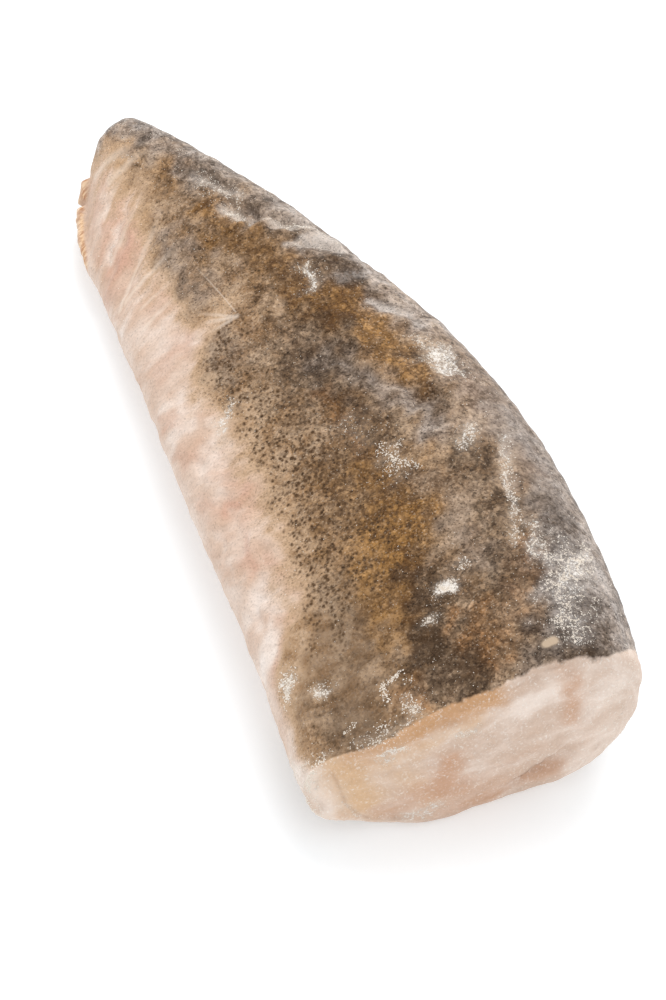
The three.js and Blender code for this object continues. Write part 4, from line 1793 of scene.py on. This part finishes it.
    def _relieve(self) -> None:
        """Moves the points along their normals: lumps, folds, crust and torn flesh."""
        points = self.points
        lumps = sum(ripples.at(points) for ripples in self.lumps)
        flesh = sum(ripples.at(points) for ripples in self.flesh_lumps)
        crust = self.crust_height * self.masks[Mask.FROST]
        crust = crust * (1.0 + self.crust_ripples.at(points))
        folds = self._skin_sum(self.marks.ridges) - self._skin_sum(self.marks.dents)
        folds = self.fold_height * folds
        lift = ease(points[..., 2], *self.grounding)
        rise = (lumps + crust + flesh * self.on_face + folds * (1.0 - self.on_face)) * lift
        self.points = points + self.normals() * rise[..., None]
        self.points[..., 2] = np.maximum(self.points[..., 2], 0.0)

    def _faces(self) -> tuple[np.ndarray, np.ndarray]:
        """Faces of the closed grid; point 0 is the heart of the cut, the last one the tip.

        Returns:
            Quads between the rows, and triangles of the fans at both ends.
        """
        rows = len(self.points)
        number = 1 + np.arange(rows * self.turns).reshape(rows, self.turns)
        following = np.roll(number, -1, 1)
        quads = np.stack([number[:-1], following[:-1], following[1:], number[1:]], -1)
        last = 1 + rows * self.turns
        first_fan = np.stack([0 * number[0], following[0], number[0]], -1)
        last_fan = np.stack([0 * number[0] + last, number[-1], following[-1]], -1)
        return quads.reshape(-1, 4), np.concatenate([first_fan, last_fan])

    @staticmethod
    def _corners(plan: np.ndarray) -> np.ndarray:
        """Places of the four corners of each quad of a grid, in the order of the faces."""
        return np.stack([plan[:-1, :-1], plan[:-1, 1:], plan[1:, 1:], plan[1:, :-1]], -2)

    def _plan(self, heart: np.ndarray, tip: np.ndarray) -> np.ndarray:
        """Unrolled skin, and the cut and the tail end seen straight on.

        Args:
            heart: middle of the cut, across and up.
            tip: middle of the tail's end, across and up.

        Returns:
            Places on the plan, one for each corner of each face.
        """
        columns = np.arange(self.turns + 1) % self.turns
        skin = np.stack([self.along[:, columns] * self.form.length, self.round_it], -1)
        aside = np.array([CUT_PLAN_SHIFT, 0.0])
        flat = self.points[:, columns][..., [0, 2]] + aside
        rows = np.arange(len(self.points) - 1)
        on_skin = (rows >= self.first_skin) & (rows < self.last_skin)
        on_skin = on_skin[:, None, None, None]
        quads = np.where(on_skin, self._corners(skin), self._corners(flat))
        middles = [aside + end + 0.0 * flat[0, :-1] for end in (heart, tip)]
        first_fan = np.stack([middles[0], flat[0, 1:], flat[0, :-1]], -2)
        last_fan = np.stack([middles[1], flat[-1, :-1], flat[-1, 1:]], -2)
        parts = [part.reshape(-1, 2) for part in (quads, first_fan, last_fan)]
        return np.concatenate(parts) * PLAN_UNIT

    def _mesh(self) -> bpy.types.Object:
        """Writes the mesh, its plan and its masks.

        Returns:
            The piece.
        """
        heart = self.points[0].mean(0)
        tip = self.points[-1].mean(0)
        everything = np.concatenate([heart[None], self.points.reshape(-1, 3), tip[None]])
        places = (everything + self.offset) * MILLIMETRE
        quads, fans = self._faces()
        mesh = bpy.data.meshes.new("hake_skin")
        mesh.from_pydata(places.tolist(), [], quads.tolist() + fans.tolist())
        mesh.polygons.foreach_set("use_smooth", np.ones(len(mesh.polygons), bool))
        plan = mesh.uv_layers.new(name=PLAN_MAP)
        corners = self._plan(heart[[0, 2]], tip[[0, 2]])
        plan.uv.foreach_set("vector", corners.astype(np.float32).ravel())
        for mask, values in self.masks.items():
            column = np.concatenate([[values[0].mean()], values.ravel(), [values[-1].mean()]])
            layer = mesh.attributes.new(mask.value, "FLOAT", "POINT")
            layer.data.foreach_set("value", column.astype(np.float32))
        mesh.update()
        finish = SkinFinish(form=self.form, marks=self.marks, face_marks=self.face_marks)
        return put_in_scene(mesh, finish.material())


@dataclass
class FrostGrains:
    """Crumbs of frost on the skin: small eight-sided grains in one mesh.

    Attributes:
        scattered: how many lie loose, more of them in frosted places.
        tries: how many places are tried for each of these.
        strung: how many sit on each millimetre of a line of crystals.
        strung_least: how many more each line has.
        smallest: half size of the smallest grains, in millimetres.
        largest: half size of the largest grains, in millimetres.
        stray_weight: chance of a loose grain on plain skin.
        bloom_and_sheen_weight: what the bloom and painted sheen mask adds to it where grains drift
            together.
        dark_weight: what dark skin adds to it there.
        drift: field whose heights are the places where grains drift together.
        veins: field whose zero lines loose grains gather on.
        vein_spread: spread of these lines, in heights of the field.
        off_vein: share of the loose grains that stay off the lines.
        seed: start of the random numbers.
    """

    scattered: int = 11000
    tries: int = 9
    strung: float = 13.0
    strung_least: int = 4
    smallest: float = 0.1
    largest: float = 0.42
    stray_weight: float = 0.006
    bloom_and_sheen_weight: float = 0.08
    dark_weight: float = 0.02
    drift: Ripples = Ripples(6.0, 22)
    veins: Ripples = Ripples(5.0, 23)
    vein_spread: float = 0.2
    off_vein: float = 0.06
    seed: int = 21
    rng: np.random.Generator = unset()

    def build(self, trunk: HakeTrunk) -> bpy.types.Object:
        """Builds the grains on the trunk.

        Each grain is an octahedron, turned at random and half sunk into the skin.

        Args:
            trunk: the trunk, already built.

        Returns:
            The object.
        """
        self.rng = np.random.default_rng(self.seed)
        strings = (self._string(trunk, line) for line in trunk.marks.crystals)
        spots = [self._scatter(trunk), *strings]
        row, column, size = (np.concatenate(part) for part in zip(*spots))
        row = np.clip(row, 0.0, len(trunk.points) - 1.0)
        centre = trunk.between(trunk.points, row, column)
        out = trunk.between(trunk.normals(), row, column)
        count = len(centre)
        first = np.cross(out, self.rng.normal(size=(count, 3)))
        first /= np.linalg.norm(first, axis=1, keepdims=True)
        second = np.cross(out, first)
        steps = np.stack([first, second, -first, -second, out, -out], 1)
        reach = size[:, None, None] * self.rng.uniform(0.5, 1.3, (count, 6, 1))
        places = (centre[:, None] + steps * reach + trunk.offset) * MILLIMETRE
        pattern = np.array(
            [[0, 1, 4], [1, 2, 4], [2, 3, 4], [3, 0, 4], [1, 0, 5], [2, 1, 5], [3, 2, 5], [0, 3, 5]]
        )
        corners = pattern[None] + 6 * np.arange(count)[:, None, None]
        mesh = bpy.data.meshes.new("frost_grains")
        mesh.from_pydata(places.reshape(-1, 3).tolist(), [], corners.reshape(-1, 3).tolist())
        mesh.update()
        return put_in_scene(mesh, GrainFinish().material())

    def _sizes(self, share: np.ndarray) -> np.ndarray:
        """Half sizes at shares of the way from the smallest grain to the largest."""
        return self.smallest + (self.largest - self.smallest) * share

    def _scatter(self, trunk: HakeTrunk) -> Spots:
        """Loose grains, gathered on the veins of a random field.

        Args:
            trunk: the trunk.

        Returns:
            Rows, columns and half sizes.
        """
        rng, masks = self.rng, trunk.masks
        gathering = self.bloom_and_sheen_weight * masks[Mask.BLOOM_AND_SHEEN] + self.dark_weight * masks[Mask.DARK]
        drift = ease(self.drift.at(trunk.points), 0.2, 1.6)
        weight = self.stray_weight + masks[Mask.FROST] + gathering * drift
        weight = weight * ease(trunk.points[..., 2], 4.0, 10.0)
        weight = weight * (1.0 - 0.6 * masks[Mask.BELLY]) * (1.0 - 0.7 * trunk.on_face)
        chance = weight.ravel() / weight.sum()
        pick = rng.choice(weight.size, self.tries * self.scattered, p=chance)
        row, column = np.divmod(pick, trunk.turns)
        row = row + rng.uniform(-0.5, 0.5, len(pick))
        column = column + rng.uniform(-0.5, 0.5, len(pick))
        row = np.clip(row, 0.0, len(trunk.points) - 1.0)
        vein = bell(self.veins.at(trunk.between(trunk.points, row, column)), self.vein_spread)
        kept = rng.random(len(pick)) < self.off_vein + (1.0 - self.off_vein) * vein
        frosted = masks[Mask.FROST].ravel()[pick]
        row, column, frosted = (part[kept][: self.scattered] for part in (row, column, frosted))
        share = rng.random(len(row)) ** 2.0 * (0.35 + 0.65 * np.clip(frosted, 0.0, 1.0))
        return row, column, self._sizes(share)

    def _string(self, trunk: HakeTrunk, line: Stroke) -> Spots:
        """Grains along one line of crystals, strewn as wide as the line.

        Args:
            trunk: the trunk.
            line: the line.

        Returns:
            Rows, columns and half sizes.
        """
        rng, form = self.rng, trunk.form
        start = np.array(form.rounded_place(*line.start))
        run = np.array(form.rounded_place(*line.end)) - start
        count = int(self.strung * line.strength * np.linalg.norm(run)) + self.strung_least
        share = rng.random((count, 1))
        place = start + run * share + rng.normal(0.0, line.width, (count, 2))
        along = np.clip(place[:, 0] / form.length, 0.0, 1.0)
        degrees = 90.0 + np.degrees(place[:, 1] / form.girth_radius(along))
        return *trunk.spot(along, degrees), self._sizes(rng.uniform(0.1, 0.75, count))


@dataclass
class Studio:
    """White floor, soft light and the camera.

    Attributes:
        floor_half: half the floor's side, in metres.
        elevation: the camera's degrees above the horizon.
        azimuth: the camera's turn from straight in front of the cut, in degrees.
        target: what the camera looks at.
        sky: strength of the even light.
        key_power: power of the soft lamp.
        key_size: the lamp's side, in metres.
    """

    floor_half: float = 3.0
    elevation: float = 48.0
    azimuth: float = -25.0
    distance: float = 0.849
    target: Triple = (0.004, -0.01955, 0.0)
    lens: float = 100.0
    sky: float = 0.92
    key_power: float = 9.0
    key_place: Triple = (0.5, 0.4, 1.2)
    key_size: float = 0.9

    def build(self) -> bpy.types.Object:
        """Builds floor, lights and camera.

        Returns:
            The floor.
        """
        self._world()
        self._key()
        self._camera()
        return self._floor()

    def _floor(self) -> bpy.types.Object:
        """A flat square floor at the height of the fish's underside.

        Returns:
            The floor.
        """
        half = self.floor_half
        corners = [(-half, -half, 0), (half, -half, 0), (half, half, 0), (-half, half, 0)]
        mesh = bpy.data.meshes.new("floor")
        mesh.from_pydata(corners, [], [(0, 1, 2, 3)])
        return put_in_scene(mesh, FloorFinish().material())

    def _world(self) -> None:
        """Even white light from all round."""
        world = bpy.data.worlds.new("white_room")
        world.use_nodes = True
        light = world.node_tree.nodes["Background"].inputs
        light["Color"].default_value = (1.0, 1.0, 1.0, 1.0)
        light["Strength"].default_value = self.sky
        scene = bpy.context.scene
        scene.world = world
        scene.view_settings.view_transform = "Standard"

    def _key(self) -> None:
        """A large soft light above, behind and to the right."""
        lamp = bpy.data.lights.new("key", "AREA")
        lamp.energy = self.key_power
        lamp.size = self.key_size
        light = bpy.data.objects.new("key", lamp)
        light.location = self.key_place
        light.rotation_euler = (-Vector(self.key_place)).to_track_quat("-Z", "Y").to_euler()
        bpy.context.scene.collection.objects.link(light)

    def _camera(self) -> None:
        """The camera at the photo's angle."""
        lens = bpy.data.cameras.new("camera")
        lens.lens = self.lens
        camera = bpy.data.objects.new("camera", lens)
        turn, rise = math.radians(self.azimuth), math.radians(self.elevation)
        flat = math.cos(rise)
        back = Vector((math.sin(turn) * flat, -math.cos(turn) * flat, math.sin(rise)))
        camera.location = Vector(self.target) + back * self.distance
        camera.rotation_euler = (-back).to_track_quat("-Z", "Y").to_euler()
        bpy.context.scene.collection.objects.link(camera)
        bpy.context.scene.camera = camera


def main() -> None:
    """Builds the trunk, its frost and the studio."""
    logging.basicConfig(level=logging.INFO, format="%(name)s: %(message)s")
    trunk = HakeTrunk()
    skin = trunk.build(*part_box(CAD_NODE))
    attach(skin, BODY)
    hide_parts(CAD_NODE)
    LOG.info("trunk: %d faces", len(skin.data.polygons))
    grains = FrostGrains().build(trunk)
    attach(grains, BODY)
    LOG.info("frost grains: %d faces", len(grains.data.polygons))
    Studio().build()


if __name__ == "__main__":
    main()
